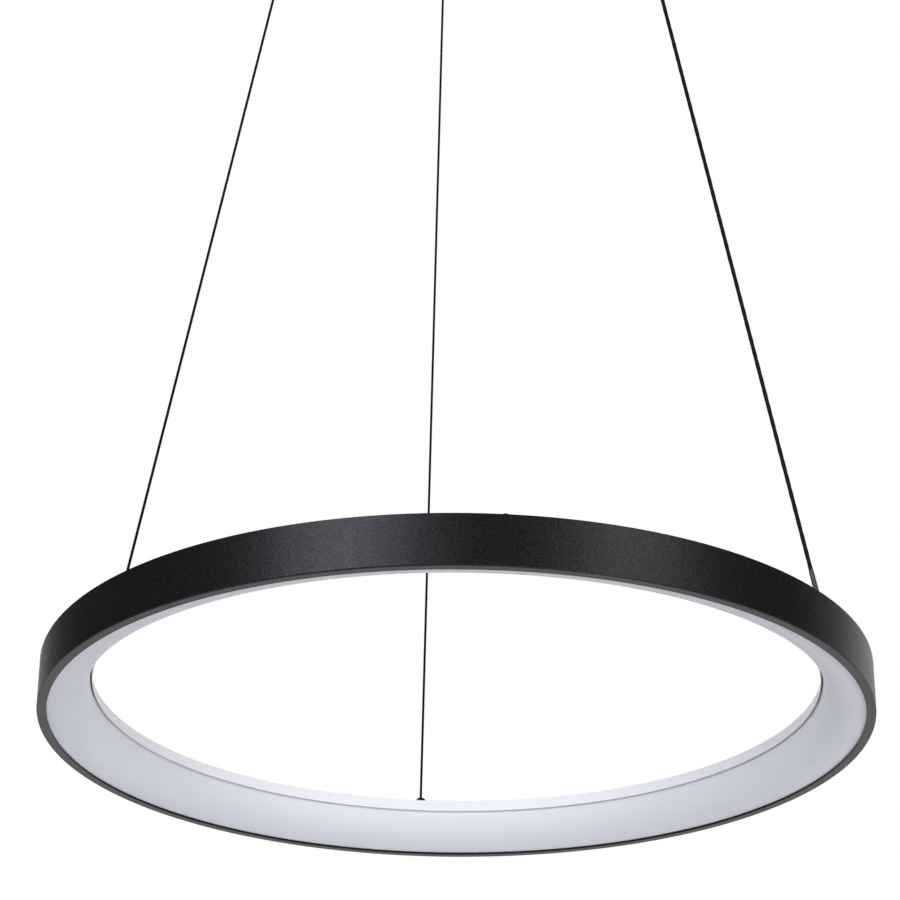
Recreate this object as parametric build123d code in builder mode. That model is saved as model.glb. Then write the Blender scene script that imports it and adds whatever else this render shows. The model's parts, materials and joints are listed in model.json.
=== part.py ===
from build123d import *
import os
from math import acos, cos, degrees, radians, sin, sqrt, tan

# Ring pendant light: a black ring with a white inside and an opal diffuser, hung from a
# round ceiling canopy by two steel wires and a power cord that carries its share.
# Millimetres, +Z up. The origin is on the ceiling at the middle of the ceiling bracket.

# Overall sizes
overall_drop = 820.0
ring_radius = 300.0
band_width = 36.3
ring_height = 36.0

# Three hanging points, evenly spaced: anchors in from the ring's inner edge, exits in from
# the canopy's edge
rear_angle = 90.0
left_angle = 210.0
cord_angle = 330.0
hanging_points = 3
anchor_inset = 13.8
exit_inset = 22.0
wire_radius = 1.0
cord_radius = 1.55

# Clearances
seat_clearance = 0.3
thread_clearance = 0.1
running_clearance = 0.05
mouth_gap = 0.3

# Outer housing: a rolled band with a bottom lip and an inner ledge
housing_wall = 2.0
edge_round = 0.5
lip_width = 6.9
lip_height = 1.8
ledge_width = 8.0
ledge_height = 3.5

# Carrier tray and top cover: the tray's inner wall leans in toward its foot, a drop below the plate
tray_sheet = 1.5
cover_sheet = 1.5
cavity_height = 3.5
wall_sheet = 0.7
wall_lean = 1.8
wall_drop = 2.5

# Diffuser: a sloping flat by the lip that runs into a round, and above it a straight tongue that
# stands behind the white wall with a slot between them; the round ends a drop below the plate
diffuser_wall = 1.8
shoulder_drop = 3.48
diffuser_slope = 5.5
slot_gap = 1.4
tongue_gap = 0.4

# LED boards and chips
board_width = 14.0
board_thickness = 1.2
board_free_angle = 16.0
chips_per_board = 24
chip_end_angle = 5.0
chip_length = 3.5
chip_width = 2.8
chip_height = 0.8
link_radius = 0.5
link_overlap_angle = 1.5

# Cover screws and spacers
screw_radius = 1.5
screw_head_radius = 3.0
screw_head_height = 2.3
spacer_wall = 1.3

# Wire anchors on the ring
dome_radius = 4.5
collar_height = 2.3
stud_radius = 2.5
stud_tip = 0.5
anchor_nut_flats = 8.0
anchor_nut_height = 2.7
ferrule_radius = 1.6
ferrule_length = 8.0
wire_clearance = 0.2

# Cord gland and sleeve on the ring
gland_flange_radius = 5.5
gland_flange_height = 2.0
gland_neck_radius = 3.2
gland_height = 4.7
sleeve_wall = 0.45
sleeve_height = 39.0
core_radius = 0.5
core_spread = 0.65
core_drop = 3.0
core_reach = 43.0
core_rise_start = 14.0
core_rise_end = 30.0
core_bend = 1.4
core_sweep_bend = 12.0

# Canopy cup
canopy_radius = 165.0
canopy_height = 40.0
canopy_sheet = 1.2
canopy_round = 4.0
rim_gap = 0.5

# Ceiling bracket
bracket_sheet = 2.0
bracket_width = 40.0
bracket_end_gap = 2.3
bracket_bend = 1.5
ear_width = 20.0
ear_height = 18.0
slot_spacing = 80.0
slot_length = 14.0
slot_width = 5.0
cable_hole_radius = 6.0

# Canopy side screws
side_screw_level = 10.0
side_screw_radius = 2.0
side_screw_head_radius = 3.6
side_screw_head_height = 2.4
side_screw_length = 10.0

# Wire grippers through the canopy floor
barrel_radius = 6.0
flange_radius = 9.0
flange_height = 3.0
nose_length = 20.0
nose_tip_radius = 4.6
nose_taper = 6.0
barrel_rise = 12.0
guide_length = 11.0
cone_length = 8.0
chamber_radius = 4.3
plug_height = 4.0
plug_clearance = 0.6
lock_nut_flats = 17.0
lock_nut_height = 4.0
plunger_radius = 3.0
plunger_tip = 3.5
plunger_tip_round = 0.8
plunger_collar_radius = 3.5
plunger_collar_height = 1.5
plunger_collar_rise = 5.0
ball_radius = 1.0
ball_clearance = 0.1
ball_gap = 0.2
ball_rise = 3.0
ball_count = 3
spring_wall = 0.8
spring_clearance = 0.9

# Cord grip through the canopy floor
grip_rise = 7.0
grip_stub_radius = 5.2
grip_stub_length = 7.0
grip_pocket_radius = 3.6
grip_pocket_depth = 4.0
grip_cap_radius = 7.5
grip_cap_length = 12.4
grip_cap_floor = 4.0
grip_cap_chamfer = 2.0

# LED driver on the canopy floor
driver_length = 150.0
driver_width = 44.0
driver_height = 30.0
driver_y = 70.0
driver_round = 2.0
driver_end_length = 25.0
driver_end_height = 14.0
driver_tab_length = 18.0
driver_tab_width = 24.0
driver_tab_sheet = 2.0
driver_stud_radius = 2.0
driver_stud_height = 8.0
driver_stud_offset = 9.0
driver_nut_flats = 7.0
driver_nut_height = 3.2
cover_screw_offset = 10.0
entry_depth = 5.0
entry_clearance = 0.2

# Terminal block, its screws and the leads
block_x = -105.0
pole_pitch = 12.0
pole_count = 3
block_length = 36.0
block_width = 20.0
block_height = 15.0
block_round = 1.0
well_radius = 2.2
well_depth = 4.0
well_offset = 5.0
clamp_screw_length = 3.0
wire_hole_radius = 1.5
wire_hole_depth = 4.0
small_screw_radius = 1.4
small_screw_head_radius = 2.6
small_screw_head_height = 1.8
lead_radius = 0.9
lead_level = -12.0
lead_bend = 20.0
lead_spread = 6.0
earth_x = -66.0
earth_turn_y = 34.0
earth_lead_bend = 9.0
earth_screw_radius = 2.0
earth_screw_head_radius = 3.6
earth_screw_head_height = 2.6
tag_sheet = 0.8
tag_radius = 4.2
tag_neck_width = 2.8
tag_neck_end = 8.0
tag_barrel_start = 7.0
tag_barrel_end = 13.0
tag_barrel_radius = 1.3
tag_barrel_level = -3.5

# Routes inside the canopy: the cord's tail and the surplus of the wires
cord_tail_level = -19.0
cord_tail_rise_bend = 13.0
cord_tail_turn_bend = 30.0
wire_tail_level = -16.0
wire_tail_rise_bend = 10.0
wire_tail_turn_bend = 40.0
wire_tail_angles = (0.0, 16.0, 34.0, 50.0)
tail_offset = 3.0

# Places that follow from the sizes above, for the ring measured from its underside
ring_bottom = -overall_drop
ring_top = ring_bottom + ring_height
ring_inner_radius = ring_radius - band_width
anchor_radius = ring_inner_radius + anchor_inset
housing_inner = ring_radius - housing_wall
lip_inner = ring_radius - lip_width
ledge_inner = housing_inner - ledge_width
plate_top = ring_height - cover_sheet - cavity_height
plate_bottom = plate_top - tray_sheet
ring_seat = housing_inner - seat_clearance
wall_foot = plate_bottom - wall_drop
wall_foot_inner = ring_inner_radius - wall_lean
wall_foot_outer = wall_foot_inner + wall_sheet
wall_top_outer = ring_inner_radius + wall_sheet
wall_slant = wall_lean / (ring_height - wall_foot)
cover_inner = wall_top_outer + seat_clearance
cover_bottom = ring_height - cover_sheet
screw_ring_radius = housing_inner - ledge_width / 2
screw_hole = screw_radius + thread_clearance
stud_hole = stud_radius + thread_clearance

# Places of the canopy and its fittings, measured from the ceiling
canopy_bottom = -canopy_height
canopy_floor = canopy_bottom + canopy_sheet
canopy_inner = canopy_radius - canopy_sheet
exit_radius = canopy_radius - exit_inset
barrel_hole = barrel_radius + thread_clearance
flange_bottom = canopy_bottom - flange_height
nose_bottom = flange_bottom - nose_length
gripper_top = canopy_bottom + barrel_rise
guide_radius = plunger_radius + running_clearance
guide_top = nose_bottom + guide_length
cone_top = guide_top + cone_length
plug_bottom = gripper_top - plug_height
plunger_bottom = nose_bottom - plunger_tip
collar_bottom = guide_top + plunger_collar_rise
collar_top = collar_bottom + plunger_collar_height
plunger_bore = wire_radius + wire_clearance
plug_bore = wire_radius + plug_clearance
ball_seat_radius = wire_radius + ball_gap + ball_radius
grip_stub_bottom = flange_bottom - grip_stub_length
grip_cap_top = flange_bottom - 2 * mouth_gap
grip_cap_bottom = grip_cap_top - grip_cap_length
grip_cap_seat = grip_cap_bottom + grip_cap_floor
cord_hole = cord_radius + wire_clearance

# Both ends of each leaning run
wire_foot = ring_top + collar_height + dome_radius + mouth_gap / 2
wire_head = plunger_bottom - mouth_gap
cord_foot = ring_top + gland_height + mouth_gap
cord_head = grip_cap_bottom - mouth_gap

wire_angles = (left_angle, rear_angle)
screw_start = rear_angle + 180.0 / hanging_points


def polar(radius, angle):
    """Point at a radius and an angle round the light's axis."""
    return (radius * cos(radians(angle)), radius * sin(radians(angle)))


def upright(x=0.0, y=0.0, z=0.0):
    """Upright drawing plane: its x runs along +X and its y runs up."""
    return Plane(origin=(x, y, z), x_dir=(1, 0, 0), z_dir=(0, -1, 0))


def level(x, y, z):
    """Level drawing plane at a point."""
    return Plane(origin=(x, y, z), x_dir=(1, 0, 0), z_dir=(0, 0, 1))


def section(points, x=0.0, y=0.0, z=0.0):
    """Closed straight-sided section on an upright plane, ready to be turned."""
    with BuildSketch(upright(x, y, z)) as drawn:
        with BuildLine():
            Polyline(*points, close=True)
        make_face()
    return drawn.sketch


def upright_axis(x, y):
    """Vertical axis through a point."""
    return Axis((x, y, 0), (0, 0, 1))


def write(piece, name):
    """Labels a finished piece and writes its file."""
    piece.part.label = name
    export_step(piece.part, f"parts/{name}.step")


def leaning_run(name, angle, foot, head, radius, bore=0.0):
    """Straight run from the ring's anchor circle up to the canopy's exit circle, with level ends.

    The run stops at the height head, which may be short of the canopy's exit."""
    low = Vector(*polar(anchor_radius, angle), foot)
    high = Vector(*polar(exit_radius, angle), head[1])
    slant = high - low
    with BuildPart() as run:
        with BuildSketch(level(*low)):
            Circle(radius)
            if bore > 0:
                Circle(bore, mode=Mode.SUBTRACT)
        extrude(amount=slant.length * (head[0] - foot) / slant.Z, dir=slant)
    write(run, name)
    return slant.length


def hex_nuts(name, places, z, flats, height, hole):
    """Hexagon nuts standing on the level z, as one group."""
    with BuildPart() as nuts:
        with BuildSketch(Plane.XY.offset(z)):
            with Locations(*places):
                RegularPolygon(flats / 2, 6, major_radius=False)
                Circle(hole, mode=Mode.SUBTRACT)
        extrude(amount=height)
    write(nuts, name)


def swept_lead(name, route_points, bends, radius):
    """One lead along straight runs joined by tangent arcs."""
    with BuildPart() as lead:
        with BuildLine() as route:
            FilletPolyline(*route_points, radius=bends)
        with BuildSketch(Plane(origin=route.line @ 0, z_dir=route.line % 0)):
            Circle(radius)
        sweep()
    write(lead, name)


os.makedirs("parts", exist_ok=True)

# Outer housing: wall, bottom lip and the ledge that the tray is screwed to
housing_points = (
    (lip_inner, 0),
    (ring_radius, 0),
    (ring_radius, ring_height),
    (housing_inner, ring_height),
    (housing_inner, plate_bottom),
    (ledge_inner, plate_bottom),
    (ledge_inner, plate_bottom - ledge_height),
    (housing_inner, plate_bottom - ledge_height),
    (housing_inner, lip_height),
    (lip_inner, lip_height),
)
with BuildPart() as outer_housing:
    with BuildSketch(upright(z=ring_bottom)) as housing_section:
        with BuildLine():
            Polyline(*housing_points, close=True)
        make_face()
        fillet(housing_section.vertices().group_by(Axis.X)[-1], edge_round)
    revolve(axis=Axis.Z)
    with BuildSketch(Plane.XY.offset(ring_bottom + plate_bottom)):
        with PolarLocations(screw_ring_radius, hanging_points, screw_start):
            Circle(screw_hole)
    extrude(amount=-ledge_height, mode=Mode.SUBTRACT)
write(outer_housing, "outer_housing")

# Diffuser: the visible face is the slope and the round, whose radius is the one that meets both
# the slope and the tongue's inner face
face_inner = wall_foot_outer + slot_gap
shoulder = plate_bottom - shoulder_drop
slope_sin = sin(radians(diffuser_slope))
slope_cos = cos(radians(diffuser_slope))
slope_tan = tan(radians(diffuser_slope))
round_rise = shoulder - lip_height - (lip_inner - face_inner) * slope_tan
diffuser_round = round_rise / (slope_cos - (1 - slope_sin) * slope_tan)
round_centre = face_inner + diffuser_round
slope_start = round_centre - diffuser_round * slope_sin
slope_rise = (lip_inner - slope_start) * slope_tan
inside_round = diffuser_round - diffuser_wall
tongue_outer = face_inner + diffuser_wall
tongue_top = plate_bottom - tongue_gap
inside_slope_r = round_centre - inside_round * slope_sin
inside_slope_z = shoulder - inside_round * slope_cos
flange_top = lip_height + diffuser_wall
flange_meet = inside_slope_r + (inside_slope_z - flange_top) / slope_tan
with BuildPart() as diffuser:
    with BuildSketch(upright(z=ring_bottom)):
        with BuildLine():
            Polyline(
                (slope_start, lip_height + slope_rise),
                (lip_inner, lip_height),
                (ring_seat, lip_height),
                (ring_seat, flange_top),
                (flange_meet, flange_top),
                (inside_slope_r, inside_slope_z),
            )
            CenterArc((round_centre, shoulder), inside_round, 180, 90 - diffuser_slope)
            Polyline(
                (tongue_outer, shoulder),
                (tongue_outer, tongue_top),
                (face_inner, tongue_top),
                (face_inner, shoulder),
            )
            CenterArc((round_centre, shoulder), diffuser_round, 180, 90 - diffuser_slope)
        make_face()
    revolve(axis=Axis.Z)
write(diffuser, "diffuser")

# Carrier tray: the white inner wall and the plate over the LED boards
tray_points = (
    (wall_foot_inner, wall_foot),
    (wall_foot_outer, wall_foot),
    (wall_foot_outer + (plate_bottom - wall_foot) * wall_slant, plate_bottom),
    (ring_seat, plate_bottom),
    (ring_seat, plate_top),
    (wall_foot_outer + (plate_top - wall_foot) * wall_slant, plate_top),
    (wall_top_outer, ring_height),
    (ring_inner_radius, ring_height),
)
with BuildPart() as carrier_tray:
    revolve(section(tray_points, z=ring_bottom), axis=Axis.Z)
    with BuildSketch(Plane.XY.offset(ring_bottom + plate_bottom)):
        with PolarLocations(screw_ring_radius, hanging_points, screw_start):
            Circle(screw_hole)
        with PolarLocations(anchor_radius, hanging_points, rear_angle):
            Circle(stud_hole)
    extrude(amount=tray_sheet, mode=Mode.SUBTRACT)
write(carrier_tray, "carrier_tray")

# Top cover: a flat ring between the housing and the white wall
with BuildPart() as top_cover:
    with BuildSketch(Plane.XY.offset(ring_bottom + cover_bottom)):
        Circle(ring_seat)
        Circle(cover_inner, mode=Mode.SUBTRACT)
        with PolarLocations(screw_ring_radius, hanging_points, screw_start):
            Circle(screw_hole, mode=Mode.SUBTRACT)
        with PolarLocations(anchor_radius, hanging_points, rear_angle):
            Circle(stud_hole, mode=Mode.SUBTRACT)
    extrude(amount=cover_sheet)
write(top_cover, "top_cover")

# LED boards: three arcs under the plate that stop short of the anchors
board_arc = 360.0 / hanging_points - board_free_angle
board_bottom = plate_bottom - board_thickness
with BuildPart() as led_boards:
    for board in range(hanging_points):
        start = rear_angle + board_free_angle / 2 + board * 360.0 / hanging_points
        across = Vector(*polar(1.0, start), 0)
        along = Vector(*polar(1.0, start - 90), 0)
        with BuildSketch(Plane(origin=(0, 0, ring_bottom + board_bottom), x_dir=across, z_dir=along)):
            with Locations((anchor_radius, board_thickness / 2)):
                Rectangle(board_width, board_thickness)
        revolve(axis=Axis.Z, revolution_arc=board_arc)
write(led_boards, "led_boards")

# LED chips in one row under each board
chip_arc = board_arc - 2 * chip_end_angle
with BuildPart() as led_chips:
    with BuildSketch(Plane.XY.offset(ring_bottom + board_bottom)):
        for board in range(hanging_points):
            start = rear_angle + board_free_angle / 2 + board * 360.0 / hanging_points
            with PolarLocations(
                anchor_radius, chips_per_board, start + chip_end_angle, chip_arc, endpoint=True
            ):
                Rectangle(chip_width, chip_length)
    extrude(amount=-chip_height)
write(led_chips, "led_chips")

# Links that bridge the boards on both sides of the two wire anchors
link_level = ring_bottom + board_bottom - link_radius
link_arc = board_free_angle + 2 * link_overlap_angle
link_offset = board_width / 2 - 2 * link_radius
with BuildPart() as board_links:
    for angle in wire_angles:
        across = Vector(*polar(1.0, angle - link_arc / 2), 0)
        along = Vector(*polar(1.0, angle - link_arc / 2 - 90), 0)
        with BuildSketch(Plane(origin=(0, 0, link_level), x_dir=across, z_dir=along)):
            with Locations((anchor_radius - link_offset, 0), (anchor_radius + link_offset, 0)):
                Circle(link_radius)
        revolve(axis=Axis.Z, revolution_arc=link_arc)
write(board_links, "board_links")

# Cover screws with domed heads, and the spacers between plate and cover
screw_tip = plate_bottom - ledge_height
with BuildPart() as cover_screws:
    for index in range(hanging_points):
        x, y = polar(screw_ring_radius, screw_start + index * 360.0 / hanging_points)
        screw_points = (
            (0, screw_tip),
            (screw_radius, screw_tip),
            (screw_radius, ring_height),
            (screw_head_radius, ring_height),
            (screw_head_radius, ring_height + screw_head_height / 2),
            (screw_head_radius * 0.7, ring_height + screw_head_height),
            (0, ring_height + screw_head_height),
        )
        revolve(section(screw_points, x, y, ring_bottom), axis=upright_axis(x, y))
write(cover_screws, "cover_screws")

with BuildPart() as screw_spacers:
    with BuildSketch(Plane.XY.offset(ring_bottom + plate_top)):
        with PolarLocations(screw_ring_radius, hanging_points, screw_start):
            Circle(screw_hole + spacer_wall)
            Circle(screw_hole, mode=Mode.SUBTRACT)
    extrude(amount=cavity_height)
write(screw_spacers, "screw_spacers")

with BuildPart() as anchor_spacers:
    with BuildSketch(Plane.XY.offset(ring_bottom + plate_top)):
        with PolarLocations(anchor_radius, hanging_points, rear_angle):
            Circle(stud_hole + spacer_wall)
            Circle(stud_hole, mode=Mode.SUBTRACT)
    extrude(amount=cavity_height)
write(anchor_spacers, "anchor_spacers")

# Wire anchors: a dome on the cover, a hollow stud through cover and plate
anchor_places = [polar(anchor_radius, angle) for angle in wire_angles]
stud_bottom = ring_bottom + plate_bottom - anchor_nut_height - stud_tip
ferrule_hole = ferrule_radius + thread_clearance
ferrule_top = stud_bottom + ferrule_length
wire_hole = wire_radius + wire_clearance
dome_base = ring_top + collar_height
with BuildPart() as wire_anchors:
    for x, y in anchor_places:
        with BuildSketch(upright(x, y)):
            with BuildLine():
                dome_mouth = sqrt(dome_radius**2 - wire_hole**2)
                dome_angle = degrees(acos(wire_hole / dome_radius))
                Polyline(
                    (wire_hole, dome_base + dome_mouth),
                    (wire_hole, ferrule_top),
                    (ferrule_hole, ferrule_top),
                    (ferrule_hole, stud_bottom),
                    (stud_radius, stud_bottom),
                    (stud_radius, ring_top),
                    (dome_radius, ring_top),
                    (dome_radius, dome_base),
                )
                CenterArc((0, dome_base), dome_radius, 0, dome_angle)
            make_face()
        revolve(axis=upright_axis(x, y))
write(wire_anchors, "wire_anchors")

# Crimped wire ends inside the anchors
with BuildPart() as wire_ends:
    for x, y in anchor_places:
        end_points = (
            (0, stud_bottom),
            (ferrule_radius, stud_bottom),
            (ferrule_radius, ferrule_top),
            (wire_radius, ferrule_top),
            (wire_radius, wire_foot),
            (0, wire_foot),
        )
        revolve(section(end_points, x, y), axis=upright_axis(x, y))
write(wire_ends, "wire_ends")

# Nuts under the plate, for both anchors and the gland
gland_x, gland_y = polar(anchor_radius, cord_angle)
nut_places = anchor_places + [(gland_x, gland_y)]
nut_level = ring_bottom + plate_bottom - anchor_nut_height
hex_nuts("anchor_nuts", nut_places, nut_level, anchor_nut_flats, anchor_nut_height, stud_hole)

# Cord gland on the cover, with the stub of the cord inside it
gland_points = (
    (cord_hole, stud_bottom),
    (stud_radius, stud_bottom),
    (stud_radius, ring_top),
    (gland_flange_radius, ring_top),
    (gland_flange_radius, ring_top + gland_flange_height),
    (gland_neck_radius, ring_top + gland_height),
    (cord_hole, ring_top + gland_height),
)
with BuildPart() as cord_gland:
    revolve(section(gland_points, gland_x, gland_y), axis=upright_axis(gland_x, gland_y))
write(cord_gland, "cord_gland")

with BuildPart() as cord_stub:
    with BuildSketch(level(gland_x, gland_y, stud_bottom)):
        Circle(cord_radius)
    extrude(amount=cord_foot - stud_bottom)
write(cord_stub, "cord_stub")

# Two cores from the gland to the pads of the next board
core_way = Vector(*polar(1.0, cord_angle + 90), 0)
core_side = Vector(*polar(1.0, cord_angle), 0)
core_start = Vector(gland_x, gland_y, stud_bottom)
pad_rise = ring_bottom + board_bottom - core_radius - running_clearance - stud_bottom
with BuildPart() as ring_leads:
    for side in (-core_spread, core_spread):
        core_top = core_start + core_side * side
        with BuildLine() as core_route:
            FilletPolyline(
                core_top,
                core_top + Vector(0, 0, -core_drop),
                core_top + core_way * core_rise_start + Vector(0, 0, -core_drop),
                core_top + core_way * core_rise_end + Vector(0, 0, pad_rise),
                core_top + core_way * core_reach + Vector(0, 0, pad_rise),
                radius=(core_bend, core_sweep_bend, core_sweep_bend),
            )
        with BuildSketch(Plane(origin=core_top, z_dir=(0, 0, -1))):
            Circle(core_radius)
        sweep()
write(ring_leads, "ring_leads")

# The taut runs: two wires, the power cord, and the sleeve on the foot of the cord
cord_full = (cord_head, cord_head)
wire_full = (wire_head, wire_head)
snug_bore = cord_radius + running_clearance
wire_run = leaning_run("left_wire", left_angle, wire_foot, wire_full, wire_radius)
leaning_run("rear_wire", rear_angle, wire_foot, wire_full, wire_radius)
cord_run = leaning_run("power_cord", cord_angle, cord_foot, cord_full, cord_radius)
sleeve_top = (cord_foot + sleeve_height, cord_head)
leaning_run("cord_sleeve", cord_angle, cord_foot, sleeve_top, snug_bore + sleeve_wall, snug_bore)
print(f"free length of a wire {wire_run:.1f} mm, of the cord {cord_run:.1f} mm")

# Canopy cup: floor, wall, three holes for the fittings, two screw holes and two weld studs
stud_x = driver_length / 2 + driver_stud_offset
with BuildPart() as canopy_cup:
    with BuildSketch(upright()) as cup_section:
        with BuildLine():
            Polyline(
                (0, canopy_bottom),
                (canopy_radius, canopy_bottom),
                (canopy_radius, -rim_gap),
                (canopy_inner, -rim_gap),
                (canopy_inner, canopy_floor),
                (0, canopy_floor),
                close=True,
            )
        make_face()
        fillet(cup_section.vertices().group_by(Axis.Y)[0].sort_by(Axis.X)[-1], canopy_round)
        inner_corner = cup_section.vertices().sort_by_distance((canopy_inner, canopy_floor))[0]
        fillet(inner_corner, canopy_round - canopy_sheet)
    revolve(axis=Axis.Z)
    with BuildSketch(Plane.XY.offset(canopy_bottom)):
        with PolarLocations(exit_radius, hanging_points, rear_angle):
            Circle(barrel_hole)
    extrude(amount=canopy_sheet, mode=Mode.SUBTRACT)
    with BuildSketch(Plane.YZ):
        with Locations((0, -side_screw_level)):
            Circle(side_screw_radius + thread_clearance)
    extrude(amount=canopy_radius, both=True, mode=Mode.SUBTRACT)
    with BuildSketch(Plane.XY.offset(canopy_floor)):
        with Locations((-stud_x, driver_y), (stud_x, driver_y)):
            Circle(driver_stud_radius)
    extrude(amount=driver_stud_height)
write(canopy_cup, "canopy_cup")

# Ceiling bracket: a strap with ears turned down inside the cup
bracket_end = canopy_inner - bracket_end_gap
ear_middle = bracket_end - bracket_sheet / 2
small_hole = small_screw_radius + thread_clearance
with BuildPart() as ceiling_bracket:
    with BuildSketch(Plane.XY.offset(-bracket_sheet)):
        Rectangle(2 * bracket_end, bracket_width)
        with Locations((-slot_spacing / 2, 0), (slot_spacing / 2, 0)):
            SlotOverall(slot_length, slot_width, mode=Mode.SUBTRACT)
        Circle(cable_hole_radius, mode=Mode.SUBTRACT)
        with Locations((block_x - pole_pitch / 2, 0), (block_x + pole_pitch / 2, 0)):
            Circle(small_hole, mode=Mode.SUBTRACT)
        with Locations((earth_x, 0)):
            Circle(earth_screw_radius + thread_clearance, mode=Mode.SUBTRACT)
    extrude(amount=bracket_sheet)
    with BuildSketch(Plane.XY.offset(-ear_height)):
        with Locations((-ear_middle, 0), (ear_middle, 0)):
            Rectangle(bracket_sheet, ear_width)
    extrude(amount=ear_height)
    bend_edges = ceiling_bracket.edges().filter_by(Axis.Y).group_by(Axis.Z)[-1]
    fillet([edge for edge in bend_edges if abs(edge.center().X) > ear_middle], bracket_bend)
    with BuildSketch(Plane.YZ):
        with Locations((0, -side_screw_level)):
            Circle(side_screw_radius + thread_clearance)
    extrude(amount=canopy_radius, both=True, mode=Mode.SUBTRACT)
write(ceiling_bracket, "ceiling_bracket")

# Side screws that hold the cup on the bracket's ears
head_seat = canopy_radius + running_clearance
with BuildPart() as canopy_screws:
    for side in (-1, 1):
        outward = Plane(origin=(side * head_seat, 0, -side_screw_level), z_dir=(side, 0, 0))
        with BuildSketch(outward):
            Circle(side_screw_head_radius)
        extrude(amount=side_screw_head_height)
        with BuildSketch(outward):
            Circle(side_screw_radius)
        extrude(amount=-side_screw_length)
write(canopy_screws, "canopy_screws")

# Wire grippers, one for each wire
body_points = (
    (guide_radius, nose_bottom),
    (nose_tip_radius, nose_bottom),
    (barrel_radius, nose_bottom + nose_taper),
    (barrel_radius, flange_bottom),
    (flange_radius, flange_bottom),
    (flange_radius, canopy_bottom),
    (barrel_radius, canopy_bottom),
    (barrel_radius, gripper_top),
    (chamber_radius, gripper_top),
    (chamber_radius, cone_top),
    (guide_radius, guide_top),
)
plug_points = (
    (plug_bore, plug_bottom),
    (chamber_radius - running_clearance, plug_bottom),
    (chamber_radius - running_clearance, gripper_top),
    (plug_bore, gripper_top),
)
plunger_points = (
    (plunger_bore, plunger_bottom),
    (plunger_radius - plunger_tip_round, plunger_bottom),
    (plunger_radius, plunger_bottom + plunger_tip_round),
    (plunger_radius, collar_bottom),
    (plunger_collar_radius, collar_bottom),
    (plunger_collar_radius, collar_top),
    (plunger_bore, collar_top),
)
spring_outer = chamber_radius - spring_clearance
spring_points = (
    (spring_outer - spring_wall, collar_top),
    (spring_outer, collar_top),
    (spring_outer, plug_bottom),
    (spring_outer - spring_wall, plug_bottom),
)
ball_level = guide_top + ball_rise
for side, angle in (("left", left_angle), ("rear", rear_angle)):
    x, y = polar(exit_radius, angle)
    gripper_axis = upright_axis(x, y)
    with BuildPart() as gripper_body:
        revolve(section(body_points, x, y), axis=gripper_axis)
    write(gripper_body, f"{side}_gripper_body")
    with BuildPart() as gripper_plug:
        revolve(section(plug_points, x, y), axis=gripper_axis)
    write(gripper_plug, f"{side}_gripper_plug")
    with BuildPart() as release_plunger:
        revolve(section(plunger_points, x, y), axis=gripper_axis)
        for index in range(ball_count):
            outward = Vector(*polar(1.0, angle + index * 360.0 / ball_count), 0)
            with BuildSketch(Plane(origin=(x, y, ball_level), z_dir=outward)):
                Circle(ball_radius + ball_clearance)
            extrude(amount=plunger_radius + ball_clearance, mode=Mode.SUBTRACT)
    write(release_plunger, f"{side}_release_plunger")
    with BuildPart() as gripper_balls:
        with Locations(level(x, y, ball_level)):
            with PolarLocations(ball_seat_radius, ball_count, angle):
                Sphere(ball_radius)
    write(gripper_balls, f"{side}_gripper_balls")
    with BuildPart() as gripper_spring:
        revolve(section(spring_points, x, y), axis=gripper_axis)
    write(gripper_spring, f"{side}_gripper_spring")
    hex_nuts(
        f"{side}_gripper_nut", [(x, y)], canopy_floor, lock_nut_flats, lock_nut_height, barrel_hole
    )

# Surplus of the wires, led up through the grippers and along inside the cup's wall
wire_bends = (wire_tail_rise_bend, wire_tail_turn_bend, wire_tail_turn_bend)
with BuildPart() as wire_tails:
    for angle, way in ((left_angle, -1), (rear_angle, 1)):
        turns = [
            Vector(*polar(exit_radius + tail_offset * (step > 0), angle + way * step), wire_tail_level)
            for step in wire_tail_angles
        ]
        with BuildLine() as tail_route:
            FilletPolyline(
                Vector(*polar(exit_radius, angle), wire_head), *turns, radius=wire_bends
            )
        with BuildSketch(level(*polar(exit_radius, angle), wire_head)):
            Circle(wire_radius)
        sweep()
write(wire_tails, "wire_tails")

# Cord grip: body through the floor, lock nut, rubber insert and clamping cap
grip_x, grip_y = polar(exit_radius, cord_angle)
grip_axis = upright_axis(grip_x, grip_y)
grip_points = (
    (cord_hole, grip_stub_bottom + grip_pocket_depth),
    (grip_pocket_radius, grip_stub_bottom + grip_pocket_depth),
    (grip_pocket_radius, grip_stub_bottom),
    (grip_stub_radius, grip_stub_bottom),
    (grip_stub_radius, flange_bottom),
    (flange_radius, flange_bottom),
    (flange_radius, canopy_bottom),
    (barrel_radius, canopy_bottom),
    (barrel_radius, canopy_bottom + grip_rise),
    (cord_hole, canopy_bottom + grip_rise),
)
with BuildPart() as cord_grip_body:
    revolve(section(grip_points, grip_x, grip_y), axis=grip_axis)
write(cord_grip_body, "cord_grip_body")

insert_points = (
    (snug_bore, grip_cap_seat),
    (grip_pocket_radius - thread_clearance, grip_cap_seat),
    (grip_pocket_radius - thread_clearance, grip_stub_bottom + grip_pocket_depth),
    (snug_bore, grip_stub_bottom + grip_pocket_depth),
)
with BuildPart() as cord_grip_insert:
    revolve(section(insert_points, grip_x, grip_y), axis=grip_axis)
write(cord_grip_insert, "cord_grip_insert")

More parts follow.
